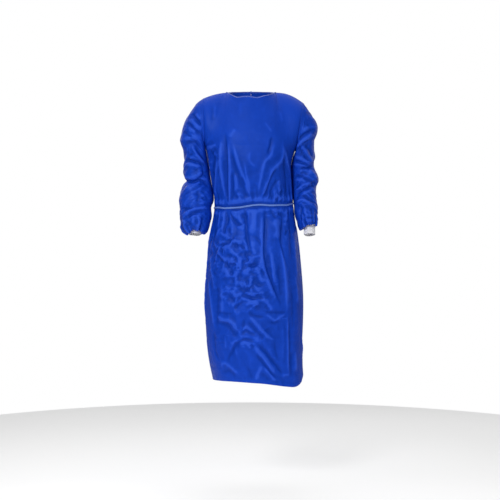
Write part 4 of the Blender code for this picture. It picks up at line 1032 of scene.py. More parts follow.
def body_relief(grid, angle, share, settings):
    """How far each point of the body stands off its smooth form, and how crushed it is: the creases of the
    view that it faces, crushed patches, slow waves of the hanging skirt, puckers and a soft roll at the belt,
    the hem's stitched fold, and nothing at seams and under the belt."""
    x, y, z = grid[..., 0], grid[..., 1], grid[..., 2]
    size = np.abs((angle + 180) % 360 - 180)
    from_seam = np.abs(size - SIDE_ANGLE)
    arc = np.radians(angle) * BODY_RADIUS
    above_belt = z - belt_height(angle)
    in_front = 1 - smooth(size, *FRONT_TO_SIDE)
    behind = smooth(size, *SIDE_TO_BACK)
    beside = (1 - in_front) * (1 - behind) * (1 - smooth(z, -0.26, -0.20))
    total = relief(x, z, FRONT_CREASES) * in_front + relief(x, z, BACK_CREASES) * behind
    total += relief(y, z, LEFT_SIDE_CREASES) * beside * (x > 0)
    total += relief(y, z, RIGHT_SIDE_CREASES) * beside * (x < 0)
    for bulge in FRONT_BULGES:
        total += bulge.height * MM * hill(x, z, bulge.x, bulge.z, bulge.radius, bulge.radius) * in_front
    crushed = FRONT_CRUSHED * in_front * (1 - smooth(z, -0.30, -0.14))
    crushed = crushed + SIDE_CRUSHED * beside + BACK_CRUSHED * behind
    for patch in FRONT_CRUSHES:
        crushed = crushed + patch.strength * hill(x, z, *patch[:4]) * in_front
    total += CRUSH_HEIGHT * crushed * crumple(arc, z, CRUSH_SIZE, 5)
    total += WAVE_HEIGHT * (1 - smooth(z, -0.62, -0.42)) * blobs(arc, z, WAVE_SIZES, 11)
    puckers = blobs(arc, z, PUCKER_SIZES, 17) + 0.5 * blobs(arc, z, FINE_PUCKER_SIZES, 19)
    total += PUCKER_HEIGHT * puckers * np.exp(-np.abs(above_belt) / PUCKER_REACH)
    roll = bell(above_belt, *OVER_ROLL) + 0.6 * bell(above_belt, *UNDER_ROLL)
    total += ROLL_HEIGHT * roll * (1.0 + 1.2 * blobs(arc, z, ROLL_SIZES, 23))
    total *= settings.crease_depth
    calm_by_seam = 0.08 + 0.92 * smooth(from_seam, 0.5, 9 + 15 * smooth(z, -0.50, -0.44))
    by_belt = 1 - np.exp(-((above_belt / BELT_PRESS) ** 4))
    total *= calm_by_seam * by_belt * (1 - smooth(share, 0.8, 0.97))
    total *= np.where(share > 0, smooth(from_seam, 0, 9), 1.0)
    seam_weld = bell(from_seam, WELD_ANGLE, WELD_SPREAD)
    hem_fold = 1 - smooth(z - (HEM_Z - hem_drop(angle)), *HEM_FOLD_ENDS)
    return total + HEM_FOLD_HEIGHT * hem_fold - WELD_DEPTH * seam_weld + CAD_WALL / 2, crushed


def front_surface(settings):
    """The front panel: its smooth form moved along its normals by its relief, with relief and crushing."""
    base, angle, share = panel_base(lambda row: FRONT_ANGLES, True)
    height, crushed = body_relief(base, angle, share, settings)
    return base + grid_normals(base) * height[..., None], height, crushed


def back_surface(side, settings):
    """A back panel, made as the front is. Its columns run round from the side seam on the left, and towards
    it on the right. The right one passes under the left one's free edge, so it is set in there."""
    way = WAYS[side]
    base, angle, share = panel_base(lambda row: way * back_angles(row), False)
    if way < 0:
        base, angle, share = base[:, ::-1], angle[:, ::-1], share[:, ::-1]
    height, crushed = body_relief(base, angle, share, settings)
    lapped = smooth(np.abs(angle), 180 - BACK_OVERLAP_ANGLE - 14, 180 - BACK_OVERLAP_ANGLE - 2)
    height = CAD_WALL / 2 + (height - CAD_WALL / 2) * (1 - 0.85 * lapped)
    if side == "right":
        height = height - LAP_DEPTH * lapped * (1 - smooth(share, 0.9, 1.0))
    return base + grid_normals(base) * height[..., None], height, crushed


def path_lengths(path):
    """Distances from the path's start to each of its points."""
    return np.concatenate([[0], np.cumsum(np.linalg.norm(np.diff(path, axis=0), axis=1))])


def arc_lengths(grid, closed=False):
    """Distances along the middle row and the middle column, for a map of the flat cloth in metres."""
    row, column = grid[len(grid) // 2], grid[:, grid.shape[1] // 2]
    if closed:
        row = np.concatenate([row, row[:1]])
    return path_lengths(row), path_lengths(column)


def standing(height, closed):
    """How far each point stands above the cloth around it, from -1 in a trough to 1 on a crease: its height
    less the height averaged again and again with that of its neighbours."""
    around = height
    for _ in range(AVERAGINGS):
        sides = np.roll(around, 1, axis=1) + np.roll(around, -1, axis=1)
        if not closed:
            sides[:, 0], sides[:, -1] = 2 * around[:, 0], 2 * around[:, -1]
        ends = np.pad(around, ((1, 1), (0, 0)), mode="edge")
        around = (2 * around + sides + ends[:-2] + ends[2:]) / 6
    return np.clip((height - around) / STANDING_RANGE, -1, 1)


def surface_object(name, grid, material, closed=False, height=None, crushed=None, caps=False):
    """A mesh of the grid's quads, facing out for columns that run anticlockwise seen from above and rows that
    rise. Its UV map is the flat cloth in metres, and its attributes are how far each point stands out and how
    crushed the cloth is there."""
    rows, columns = grid.shape[:2]
    index = np.arange(rows * columns).reshape(rows, columns)
    left = index if closed else index[:, :-1]
    right = np.roll(index, -1, axis=1) if closed else index[:, 1:]
    faces = np.stack([left[:-1], right[:-1], right[1:], left[1:]], axis=-1).reshape(-1, 4).tolist()
    if caps:
        faces += [index[0, ::-1].tolist(), index[-1].tolist()]
    mesh = bpy.data.meshes.new(name)
    mesh.from_pydata(grid.reshape(-1, 3).tolist(), [], faces)
    flat = np.stack(np.meshgrid(*arc_lengths(grid, closed)), axis=-1)
    flat = np.stack([flat[:-1, :-1], flat[:-1, 1:], flat[1:, 1:], flat[1:, :-1]], axis=2).reshape(-1, 2)
    cap_corners = np.zeros((len(mesh.loops) - len(flat), 2))
    mesh.uv_layers.new(name="cloth").data.foreach_set("uv", np.concatenate([flat, cap_corners]).ravel())
    shown = None if height is None else standing(height, closed)
    for label, values in (("relief", shown), ("crushed", crushed)):
        marks = mesh.attributes.new(label, "FLOAT", "POINT")
        marks.data.foreach_set("value", np.zeros(rows * columns) if values is None else values.ravel())
    mesh.shade_smooth()
    mesh.materials.append(material)
    obj = bpy.data.objects.new(name, mesh)
    bpy.context.scene.collection.objects.link(obj)
    return obj


def give_wall(obj, thickness):
    """Makes the surface the middle of a thin closed wall."""
    wall = obj.modifiers.new("wall", "SOLIDIFY")
    wall.thickness = thickness
    wall.offset = 0


def seat(obj, slot, *nodes):
    """Hangs the piece on the root body and hides the CAD nodes it stands for; slot is not used."""
    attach(obj, "root")
    if nodes:
        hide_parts(*nodes)


def sleeve_table(side):
    """The sleeve's table with the armhole as its first row, and each row's share of the length."""
    hole = ARMHOLES[side]
    first = SleeveSection(hole.tip_x, hole.tip_z, hole.armpit_x, hole.armpit_z, hole.half_depth, 0, 0, 0)
    sections = np.array([first] + SLEEVES[side], float) * MM
    lengths = path_lengths((sections[:, 0:2] + sections[:, 2:4]) / 2)
    return sections, lengths / lengths[-1]


def sleeve_surface(side, settings):
    """The sleeve from armhole to cuff: ovals through the table's smooth curves, on the armhole's own oval at
    first, with creases, ring crumples and gathers on them, and a last stretch that turns up inside."""
    way = WAYS[side]
    sections, knots = sleeve_table(side)
    along = np.linspace(0, 1, SLEEVE_ROWS)
    turn = np.arange(SLEEVE_COLUMNS) * 360 / SLEEVE_COLUMNS
    columns = [curve_through(knots, column, along)[:, None] for column in sections.T]
    outer_x, outer_z, inner_x, inner_z, depth, middle_y, tip, lift = columns
    first, last = TOUCH_SHARES[side]
    touching = smooth(along, 0.02, first) * (1 - smooth(along, last, last + 0.07))
    level = inner_z - way * ARMPIT_TILT * smooth(inner_z, ARMPIT_BEND_Z, ARMPIT_Z)
    clearance = TOUCH_CLEARANCE + LOW_CLEARANCES[side] * smooth(along, 0.32, 0.48)[:, None]
    clearance = clearance + BELT_CLEARANCE * bell(inner_z, BELT_Z, BELT_CLEARANCE_REACH)
    beside = body_size(side + "_edge", level) + way * clearance
    inner_x = inner_x + (beside - inner_x) * touching[:, None]
    cosine, sine = np.cos(np.radians(turn))[None, :], np.sin(np.radians(turn))[None, :]
    outward = (1 - signed_power(cosine, 2 / SECTION_POWER)) / 2
    ahead = signed_power(sine, 2 / SECTION_POWER)
    x = inner_x + (outer_x - inner_x) * outward
    z = inner_z + (outer_z - inner_z) * outward + tip * ahead + lift * ahead**2
    grid = np.stack([x, middle_y - depth * ahead, z], axis=-1)
    start = armhole_point(side, turn) - grid[0]
    grid = grid + start[None] * (1 - smooth(along, 0, ARMHOLE_SHARE))[:, None, None]
    normals = -way * grid_normals(grid, closed=True)
    height = sleeve_relief(side, grid, along, turn, settings)
    crushed = 0.25 + 0.5 * noise(grid[..., 0] / 0.06 + 7, grid[..., 2] / 0.05 + 40, 3 * way)
    shown = grid + normals * height[..., None], height, crushed
    return tuple(part[::-1, :: int(way)] for part in shown)


def sleeve_relief(side, grid, along, turn, settings):
    """How far the sleeve stands off its ovals: creases of its front and back, noise stretched round the arm,
    crushed cloth, gathers over the cuff as cosines of the turn, and less beside the body and the seam."""
    x, z = grid[..., 0], grid[..., 2]
    seed = SLEEVE_SEEDS[side]
    front_creases, back_creases = SLEEVE_CREASES[side]
    cosine, sine = np.cos(np.radians(turn))[None, :], np.sin(np.radians(turn))[None, :]
    in_front = smooth(sine, -0.45, 0.1)
    total = relief(x, z, front_creases) * in_front + relief(x, z, back_creases) * (1 - in_front)
    round_x, round_y = ARM_RADIUS * cosine + 0.2, ARM_RADIUS * sine + 0.2
    arm = np.repeat(along[:, None], len(turn), axis=1) * ARM_LENGTH
    bent = arm / RING_SIZE + 1.6 * noise(round_x / 0.05, round_y / 0.05, seed)
    rings = noise(bent, round_x / 0.05 + round_y / 0.06, seed + 1) - 0.5
    rings = rings * smooth(along, 0.05, 0.2)[:, None] * (0.45 + 0.55 * (1 - in_front))
    crushing = crumple(round_x + arm * 0.4, arm + round_y * 0.9, SLEEVE_CRUSH_SIZE, seed + 4)
    total = total + RING_HEIGHT * rings + SLEEVE_CRUSH_HEIGHT * crushing
    gathered = smooth(along, 0.74, 0.90) * (1 - smooth(along, 0.93, 0.965))
    for count, size, phase in GATHERS:
        wave = np.cos(np.radians(count * turn) + phase + seed)[None, :]
        total = total + size * MM * wave * gathered[:, None]
    off_body = smooth((1 - cosine) / 2, 0.03, 0.25)
    outside = 1 - smooth(along, 0.92, 0.955)[:, None]
    shown = smooth(along, 0.0, 0.05)[:, None] * (0.15 + 0.85 * outside)
    return total * settings.crease_depth * off_body * shown + CAD_WALL / 2 * outside


def cuff_surface(side, ribs):
    """A knitted tube: an oval between its two ends, with ribs as roots of a cosine, a slight waist as a sine,
    some wandering noise, and an edge that turns in and waves."""
    shape = CUFFS[side]
    turn = np.arange(ribs * POINTS_PER_RIB) * 2 * math.pi / (ribs * POINTS_PER_RIB)
    share = np.linspace(0, 1, CUFF_ROWS)[:, None]
    cosine, sine = np.cos(turn)[None, :], np.sin(turn)[None, :]
    top = np.array([shape.top_x, shape.top_y, shape.top_z]) * MM
    bottom = np.array([shape.bottom_x, shape.bottom_y, shape.bottom_z]) * MM
    axis = unit(top - bottom)
    across = unit(np.cross([0, 1.0, 0], axis))
    ahead = np.cross(axis, across)
    edge = np.exp(-share / 0.03)
    rib = np.sqrt(np.abs(np.cos(ribs * turn / 2)))[None, :] - 1
    wander = noise(4 * cosine + 9, share * 3 + sine * 2 + 7, CUFF_SEEDS[side]) - 0.5
    out = RIB_DEPTH * rib + CUFF_WANDER * wander
    out = out - CUFF_EDGE_TURN * edge - CUFF_WAIST * np.sin(math.pi * share)
    wide = (shape.half_width - CUFF_INSET + out) * MM
    deep = (shape.half_depth - CUFF_INSET + out) * MM
    wave = CUFF_EDGE_WAVE * MM * np.cos(3 * turn + CUFF_SEEDS[side])[None, :] * edge
    grid = (bottom + (top - bottom) * share)[:, None, :] + (cosine * wide)[..., None] * across
    return grid + (sine * deep)[..., None] * ahead + wave[..., None] * axis


def tube(path, out, half_width, half_depth, lift=0.0, sides=16, power=2.6):
    """A tape's surface: a superellipse, half_width along the cloth and half_depth off it, carried along a
    path. lift is how far its middle stands off the path, and each size may vary along it."""
    along = unit(np.gradient(path, axis=0))
    out = unit(out - (out * along).sum(axis=-1, keepdims=True) * along)
    down = np.cross(out, along)
    turn = np.arange(sides) * 2 * math.pi / sides
    wide = signed_power(np.cos(turn), 2 / power)[None, :, None] * np.reshape(half_width, (-1, 1, 1))
    deep = signed_power(np.sin(turn), 2 / power)[None, :, None] * np.reshape(half_depth, (-1, 1, 1))
    middle = path + out * np.reshape(lift, (-1, 1))
    return middle[:, None, :] + down[:, None, :] * wide + out[:, None, :] * deep


def respaced(path, count):
    """The path's points at even distances along it."""
    knots = path_lengths(path)
    at = np.linspace(0, knots[-1], count)
    return np.stack([np.interp(at, knots, column) for column in path.T], axis=-1)


def stitch_line(path, out, pitch, radius):
    """A sewing thread that rises over each stitch and dips into the cloth between stitches: a round tube
    whose middle follows a cosine of the length along the path."""
    stitches = max(1, round(path_lengths(path)[-1] / pitch))
    count = stitches * POINTS_PER_STITCH + 1
    phase = np.linspace(0, stitches * 2 * math.pi, count)
    lift = radius * (0.2 + 1.1 * np.cos(phase))
    fine, normal = respaced(path, count), unit(respaced(out, count))
    return tube(fine, normal, radius, radius, lift=lift, sides=6, power=2)


def neck_line(settings):
    """The neck edge on the finished cloth from the right back edge round the front to the left back edge,
    evenly spaced and averaged along itself, with the cloth's outward normal and the way down the cloth."""
    front = front_surface(settings)[0]
    left = back_surface("left", settings)[0]
    right = back_surface("right", settings)[0]
    in_front = np.flatnonzero(np.abs(FRONT_ANGLES) <= NECK_POINT_ANGLE + 0.5)
    behind = np.flatnonzero(back_angles(1.0) >= 180 - NECK_POINT_ANGLE - 0.4)
    parts = [(right, BACK_COLUMNS - 1 - behind[::-1]), (front, in_front), (left, behind)]
    edge = np.concatenate([grid[-1, part] for grid, part in parts])
    out = np.concatenate([grid_normals(grid)[-1, part] for grid, part in parts])
    keep = np.concatenate([[True], np.linalg.norm(np.diff(edge, axis=0), axis=1) > 0.6 * MM])
    edge, out = respaced(edge[keep], NECK_POINTS), respaced(out[keep], NECK_POINTS)
    for _ in range(12):
        out[1:-1] = (out[:-2] + 2 * out[1:-1] + out[2:]) / 4
        edge[1:-1] = (edge[:-2] + 2 * edge[1:-1] + edge[2:]) / 4
    out = unit(out)
    return edge, out, unit(np.cross(np.gradient(edge, axis=0), out))


def belt_line():
    """The belt's path on the body's level sections, from the knot behind round the waist and back to it, the
    way off the cloth, and the angle of each point."""
    angles = np.linspace(BELT_END_ANGLE - 180, 180 - BELT_END_ANGLE, BELT_POINTS)
    path = body_ring(angles, belt_height(angles))
    return path, unit(np.cross(np.gradient(path, axis=0), [0, 0, 1.0])), angles


def back_outer(angle, z):
    """Points of the back's smooth outer face at these angles and heights: level sections under the armpits,
    and over them the yoke's columns, read at each height."""
    low = body_ring(angle, np.minimum(z, ARMPIT_Z))
    angles, shares = np.meshgrid(angle, np.linspace(0, 1, YOKE_SAMPLES), indexing="ij")
    columns = yoke_point(angles, shares, False)
    high = np.array([
        [np.interp(level, column[:, 2], values) for values in column.T] for level, column in zip(z, columns)
    ])
    return np.where((z > ARMPIT_Z)[:, None], high, low)


def tie_surfaces(sizes, knot):
    """The surfaces of a tied tape: a knot of three crossing wraps, each an ellipse leaned by its tilt, and
    two ends that hang along the back, their sway and their slow twist sines of the length."""
    surfaces = []
    turn = np.arange(WRAP_POINTS) * 2 * math.pi / WRAP_POINTS
    for wrap in KNOT_WRAPS:
        loop = np.stack([
            sizes.half_width * 0.62 * wrap.size * np.cos(turn),
            sizes.half_depth * 0.66 * wrap.size * np.sin(turn),
            sizes.half_height * 0.42 * np.sin(turn + wrap.tilt) + wrap.rise,
        ], axis=-1) * MM
        cosine, sine = math.cos(wrap.tilt), math.sin(wrap.tilt)
        loop = loop @ np.array([[cosine, 0, sine], [0, 1, 0], [-sine, 0, cosine]])
        loop = np.concatenate([loop[-1:], loop, loop[:1]])
        surfaces.append((tube(loop, unit(loop), WRAP_HALF_WIDTH, WRAP_HALF_DEPTH)[1:-1] + knot, True))
    share = np.linspace(0, 1, TIE_ROWS)
    spread = sizes.top_spread + (sizes.bottom_spread - sizes.top_spread) * share
    for way, length in ((1.0, sizes.left_length), (-1.0, sizes.right_length)):
        path = back_outer(180 - spread, knot[2] - (sizes.half_height * 0.5 + share * length) * MM)
        path[:, 0] = knot[0] + way * (path[:, 0] - knot[0] + 1.6 * MM * np.sin(share * 7 + way))
        path[:, 1] += CAD_WALL + (1.6 + 1.2 * np.sin(share * 5 + way) ** 2 + 2.5 * np.exp(-share / 0.06)) * MM
        out = np.stack([0.35 * np.sin(share * 6 + way), np.ones(TIE_ROWS), 0.1 * np.cos(share * 5)], axis=-1)
        surfaces.append((tube(path, out, TIE_HALF_WIDTH, TIE_HALF_DEPTH), False))
    return surfaces


class Socket:
    """A shader output. Arithmetic on it adds Math nodes to its tree."""

    def __init__(self, tree, output):
        self.tree, self.output = tree, output

    def math(self, operation, *values):
        """This operation on the socket, and on the values after it where it takes more than one."""
        inputs = dict(enumerate((self, *values)))
        return add_node(self.tree, "ShaderNodeMath", {"operation": operation}, inputs)

    def __add__(self, other):
        return self.math("ADD", other)

    def __mul__(self, other):
        return self.math("MULTIPLY", other)

    def __sub__(self, other):
        return self.math("SUBTRACT", other)

    def __rsub__(self, other):
        return self * -1.0 + other

    __radd__, __rmul__ = __add__, __mul__


def add_node(tree, kind, settings=None, values=None, output=0):
    """A node of this type: its settings, then a value or another socket for each named or numbered input."""
    made = tree.nodes.new(kind)
    for name, value in (settings or {}).items():
        setattr(made, name, value)
    for name, value in (values or {}).items():
        if isinstance(value, Socket):
            tree.links.new(value.output, made.inputs[name])
        else:
            made.inputs[name].default_value = value
    return Socket(tree, made.outputs[output])


def new_material(name, constants):
    """A material with its tree and its Principled shader, whose unvarying sockets are set here."""
    made = bpy.data.materials.new(name)
    made.use_nodes = True
    shader = made.node_tree.nodes["Principled BSDF"]
    for socket, value in constants.items():
        shader.inputs[socket].default_value = value
    return made, made.node_tree, shader


def feed(shader, name, socket):
    """Leads a socket into the shader's own socket of this name."""
    socket.tree.links.new(socket.output, shader.inputs[name])


def feed_bump(shader, height):
    """Leads a height in metres into the shader's normal."""
    bump = add_node(height.tree, "ShaderNodeBump", None, {"Height": height, "Distance": 1.0, "Strength": 1.0})
    feed(shader, "Normal", bump)


def flat_cloth(tree):
    """The cloth's own map in metres, as across and along sockets and as a vector for textures."""
    place = add_node(tree, "ShaderNodeUVMap", {"uv_map": "cloth"})
    across = add_node(tree, "ShaderNodeSeparateXYZ", None, {0: place})
    along = Socket(tree, across.output.node.outputs[1])
    return across, along, place


def cloud(place, scale, detail=2.0, rough=0.5, ridged=False):
    """Noise at a place, about 0 to 1."""
    kind = {"noise_type": "RIDGED_MULTIFRACTAL", "normalize": True} if ridged else {}
    values = {"Vector": place, "Scale": scale, "Detail": detail, "Roughness": rough}
    return add_node(place.tree, "ShaderNodeTexNoise", kind, values)


def waves(distance, pitch):
    """A sine of the distance from -1 to 1 that repeats at this pitch."""
    return (distance * (2 * math.pi / pitch)).math("SINE")


def swing(socket, amount):
    """A socket from 0 to 1 made one about 0 that varies by this amount in all."""
    return (socket - 0.5) * amount


def tinted(dark, light, share):
    """Between two colours, or from a colour socket to a colour, by a socket from 0 to 1."""
    first = dark if isinstance(dark, Socket) else (*dark, 1.0)
    settings = {"data_type": "RGBA", "clamp_factor": True}
    return add_node(share.tree, "ShaderNodeMix", settings, {0: share, 6: first, 7: (*light, 1.0)}, output=2)


def scaled(colour, share, added=(0, 0, 0)):
    """A colour made darker or lighter by a share, with some of another added."""
    return tuple(channel * share + extra for channel, extra in zip(colour, added))


def nonwoven_material(name, colour, crush):
    """Spun-bonded cloth: bond dots as a product of two sines, fine fibres and small crush marks in relief,
    cloudy colour, with painted highlight along the tops of creases and painted shade in their bottoms."""
    made, tree, shader = new_material(name, {
        "Metallic": 0.0,
        "IOR": 1.45,
        "Specular IOR Level": 0.2,
        "Specular Tint": (0.45, 0.70, 1.0, 1.0),
    })
    across, along, place = flat_cloth(tree)
    dots = waves(across, DOT_PITCHES[0]) * waves(along, DOT_PITCHES[1])
    dots = (dots - 0.55).math("MAXIMUM", 0.0) * 2.2
    fibres = cloud(place, 1500, 3.0, 0.6)
    clouds = cloud(place, 9, 3.0, 0.55)
    fine = cloud(place, 110, 3.0, 0.6)
    marks = cloud(place, 36, 4.0, 0.6, ridged=True)
    ripples = cloud(place, 62, 3.0, 0.6, ridged=True)
    stand = add_node(tree, "ShaderNodeAttribute", {"attribute_name": "relief"}, output=2)
    crushed = add_node(tree, "ShaderNodeAttribute", {"attribute_name": "crushed"}, output=2)
    # Share towards the paler blue. Clouds, fibres, dots and crush marks give random tone. The relief
    # attribute (stand) adds painted highlight on ridges and painted shade in troughs. The paler end is a
    # little greyer, like a highlight.
    light = 0.5 + swing(clouds, 0.5) + swing(fibres, 0.25) + dots * 0.12 + stand * 0.42 + swing(marks, 0.16)
    base = tinted(scaled(colour, 0.70), scaled(colour, 1.26, (0.004, 0.006, 0.010)), light)
    # Painted highlight: where a point stands well above the cloth around it, the colour is tinted towards a
    # pale, greyer blue
    painted_ridge_highlight = (stand - 0.3).math("MAXIMUM", 0.0) * 0.5
    feed(shader, "Base Color", tinted(base, scaled(colour, 1.3, (0.034, 0.060, 0.075)), painted_ridge_highlight))
    feed(shader, "Roughness", 0.47 + swing(clouds, 0.12) + swing(fibres, 0.10) - dots * 0.08)
    creased = (marks * (3.0 * MM) + ripples * (2.4 * MM)) * (crushed * 0.85 + 0.25) + fine * (0.6 * MM)
    feed_bump(shader, creased * crush + fibres * (0.05 * MM) - dots * (0.06 * MM))
    return made


def knit_material(name, colour):
    """Ribbed knit: columns of small V stitches, sines along a slant that turns at each one, and soft fuzz."""
    made, tree, shader = new_material(name, {"Metallic": 0.0, "Sheen Weight": 0.25, "Sheen Roughness": 0.5})
    across, along, place = flat_cloth(tree)
    slant = waves(across, STITCH_PITCHES[0]).math("ABSOLUTE")
    stitches = waves(along + slant * (0.6 * MM), STITCH_PITCHES[1])
    fuzz = cloud(place, 1400, 3.0, 0.7)
    light = 0.62 + stitches * 0.14 + swing(fuzz, 0.4) + swing(cloud(place, 60), 0.3)
    feed(shader, "Base Color", tinted(scaled(colour, 0.84), colour, light))
    feed(shader, "Roughness", 0.86 + swing(fuzz, 0.12))
    feed_bump(shader, stitches * (0.16 * MM) + fuzz * (0.12 * MM))
    return made


def tape_material(name, colour, pale):
    """Woven tape: ribs across it, a finer weave along it, paler rubbed threads and a soft sheen."""
    made, tree, shader = new_material(name, {"Metallic": 0.0, "Sheen Weight": 0.15, "Sheen Roughness": 0.4})
    across, along, place = flat_cloth(tree)
    ribs = waves(along, WEAVE_PITCHES[1])
    weave = waves(across, WEAVE_PITCHES[0]) * ribs
    fuzz = cloud(place, 900, 3.0, 0.6)
    light = 0.5 + ribs * 0.10 + weave * 0.08 + swing(fuzz, 0.4) + swing(cloud(place, 40), 0.5)
    feed(shader, "Base Color", tinted(colour, pale, light))
    feed(shader, "Roughness", 0.62 + swing(fuzz, 0.14) - ribs * 0.04)
    feed_bump(shader, ribs * (0.07 * MM) + weave * (0.05 * MM) + fuzz * (0.06 * MM))
    return made


def floor_material(name, colour):
    """Smooth pale floor with faint clouds, a little of its own light in it."""
    made, tree, shader = new_material(name, {
        "Metallic": 0.0,
        "Emission Color": (1, 1, 1, 1),
        "Emission Strength": 0.22,
    })
    clouds = cloud(add_node(tree, "ShaderNodeTexCoord", output=3), 0.7, 3.0)
    feed(shader, "Base Color", tinted(scaled(colour, 0.985), colour, clouds))
    feed(shader, "Roughness", 0.55 + swing(clouds, 0.06))
    return made


def finish(name):
    """The material of this finish, made when it is first asked for. The frame's own ones are plain."""
    shown = "shown_" + name
    found = bpy.data.materials.get(shown)
    if found:
        return found
    colours, sizes = bpy.context.scene.gown_colours, bpy.context.scene.gown_sizes
    makers = {
        "blue_nonwoven": lambda: nonwoven_material(shown, colours.cloth, sizes.crush_depth),
        "white_rib_knit": lambda: knit_material(shown, colours.knit),
        "pale_blue_tape": lambda: tape_material(shown, colours.tape, colours.tape_pale),
        "lilac_binding": lambda: tape_material(shown, colours.binding, colours.binding_pale),
        "sewing_thread": lambda: tape_material(shown, colours.thread, colours.thread_pale),
        "pale_floor": lambda: floor_material(shown, colours.floor),
    }
    return makers[name]()


def colour_property(name, description, default):
    """A colour that a user may change."""
    return bpy.props.FloatVectorProperty(
        name=name, description=description, default=default, size=3, min=0, max=1, subtype="COLOR"
    )


def length_property(name, description, default, low, high):
    """A length that a user may change, between low and high."""
    return bpy.props.FloatProperty(
        name=name, description=description, default=default, min=low, max=high, unit="LENGTH"
    )


def share_property(name, description, default, high):
    """A share that a user may change, from 0 to high."""
    return bpy.props.FloatProperty(
        name=name, description=description, default=default, min=0, max=high, subtype="FACTOR"
    )


def power_property(name, description, default):
    """A light's power that a user may change."""
    return bpy.props.FloatProperty(name=name, description=description, default=default, min=0, unit="POWER")


class GownSizes(bpy.types.PropertyGroup):
    """Sizes that a user would change."""

    cloth_thickness: length_property(
        "Cloth thickness", "Thickness of the nonwoven's wall", 0.8 * MM, 0.2 * MM, CAD_WALL)
    crease_depth: share_property("Crease depth", "Share of the creases' measured depth", 1.4, 2)
    crush_depth: share_property("Crush depth", "Strength of the cloth's smallest crush marks", 1.0, 3)
    cuff_ribs: bpy.props.IntProperty(
        name="Cuff ribs", description="Ribs round each knitted cuff", default=52, min=20, max=80)
    binding_width: length_property(
        "Binding width", "Width of the folded tape at the neck", 3.4 * MM, 3 * MM, 8 * MM)
    belt_width: length_property("Belt width", "Width of the waist belt", 6 * MM, 5 * MM, 12 * MM)


class GownColours(bpy.types.PropertyGroup):
    """Colours that a user would change."""

    cloth: colour_property("Cloth", "Colour of the nonwoven", (0.0025, 0.0455, 0.458))
    knit: colour_property("Knit", "Colour of the cuffs", (0.92, 0.92, 0.95))
    tape: colour_property("Tape", "Darker threads of the belt and ties", (0.066, 0.150, 0.54))
    tape_pale: colour_property("Tape, pale", "Paler threads of the belt and ties", (0.145, 0.27, 0.70))
    binding: colour_property("Binding", "Darker threads of the neck binding", (0.035, 0.085, 0.46))
    binding_pale: colour_property("Binding, pale", "Paler threads of the neck binding", (0.09, 0.16, 0.58))
    thread: colour_property("Thread", "Darker fibres of the sewing thread", (0.24, 0.30, 0.66))
    thread_pale: colour_property("Thread, pale", "Paler fibres of the sewing thread", (0.44, 0.50, 0.82))
    floor: colour_property("Floor", "Colour of the studio floor", (0.94, 0.94, 0.94))


class GownStudio(bpy.types.PropertyGroup):
    """Studio settings that a user would change."""

    key_power: power_property("Key light", "Power of the light at the upper left", 96)
    fill_power: power_property("Front light", "Power of the wide light in front", 33)
    back_power: power_property("Back light", "Power of each light behind", 18)
    top_power: power_property("Top light", "Power of the large light overhead", 128)
    surroundings: share_property("Surroundings", "Strength of the even light from all round", 0.20, 2)
    floor_drop: length_property("Floor", "How far the floor lies under the shoulders", 1.49, 1.2, 1.8)
    camera_distance: length_property(
        "Camera distance", "From the camera to the middle of the gown", 4.0, 1, 10)


class GOWN_OT_front_panel(bpy.types.Operator):
    """Make the front panel with its creases"""

    bl_idname = "gown.front_panel"
    bl_label = "Front Panel"

    def execute(self, context):
        sizes = context.scene.gown_sizes
        grid, height, crushed = front_surface(sizes)
        obj = surface_object("front_cloth", grid, finish("blue_nonwoven"), height=height, crushed=crushed)
        give_wall(obj, sizes.cloth_thickness)
        seat(obj, "blue_nonwoven", "front_panel")
        return {"FINISHED"}


class GOWN_OT_back_panels(bpy.types.Operator):
    """Make the two back panels, the right one's free edge under the left one's"""

    bl_idname = "gown.back_panels"
    bl_label = "Back Panels"

    def execute(self, context):
        sizes = context.scene.gown_sizes
        for side in ("left", "right"):
            grid, height, crushed = back_surface(side, sizes)
            name, cloth = "back_cloth_" + side, finish("blue_nonwoven")
            obj = surface_object(name, grid, cloth, height=height, crushed=crushed)
            give_wall(obj, sizes.cloth_thickness)
            seat(obj, "blue_nonwoven", "back_panel_" + side)
        return {"FINISHED"}


class GOWN_OT_sleeves(bpy.types.Operator):
    """Make the two sleeves, bunched over the cuffs"""

    bl_idname = "gown.sleeves"
    bl_label = "Sleeves"

    def execute(self, context):
        sizes = context.scene.gown_sizes
        for side in ("left", "right"):
            grid, height, crushed = sleeve_surface(side, sizes)
            name, cloth = "sleeve_cloth_" + side, finish("blue_nonwoven")
            obj = surface_object(name, grid, cloth, closed=True, height=height, crushed=crushed)
            give_wall(obj, sizes.cloth_thickness)
            seat(obj, "blue_nonwoven", "sleeve_" + side)
        return {"FINISHED"}


class GOWN_OT_cuffs(bpy.types.Operator):
    """Make the two ribbed knit cuffs"""

    bl_idname = "gown.cuffs"
    bl_label = "Cuffs"

    def execute(self, context):
        sizes = context.scene.gown_sizes
        for side in ("left", "right"):
            grid = cuff_surface(side, sizes.cuff_ribs)
            obj = surface_object("cuff_knit_" + side, grid, finish("white_rib_knit"), closed=True)
            give_wall(obj, CUFF_WALL)
            seat(obj, "white_rib_knit", "cuff_" + side)
        return {"FINISHED"}


class GOWN_OT_neck_binding(bpy.types.Operator):
    """Make the folded tape on the neck edge and the thread under it"""

    bl_idname = "gown.neck_binding"
    bl_label = "Neck Binding"

    def execute(self, context):
        sizes = context.scene.gown_sizes
        edge, out, down = neck_line(sizes)
        width = sizes.binding_width
        rings = tube(edge - down * width * 0.42, out, width / 2, BINDING_HALF_DEPTH, lift=0.1 * MM)
        obj = surface_object("neck_tape", rings, finish("lilac_binding"), closed=True, caps=True)
        seat(obj, "pale_blue_tape", "neck_binding")
        stitches = stitch_line(edge + down * 1.0 * MM, out, STITCH_PITCH, STITCH_RADIUS)
        thread = surface_object("neck_stitches", stitches, finish("sewing_thread"), closed=True, caps=True)
        seat(thread, "pale_blue_tape")
        return {"FINISHED"}


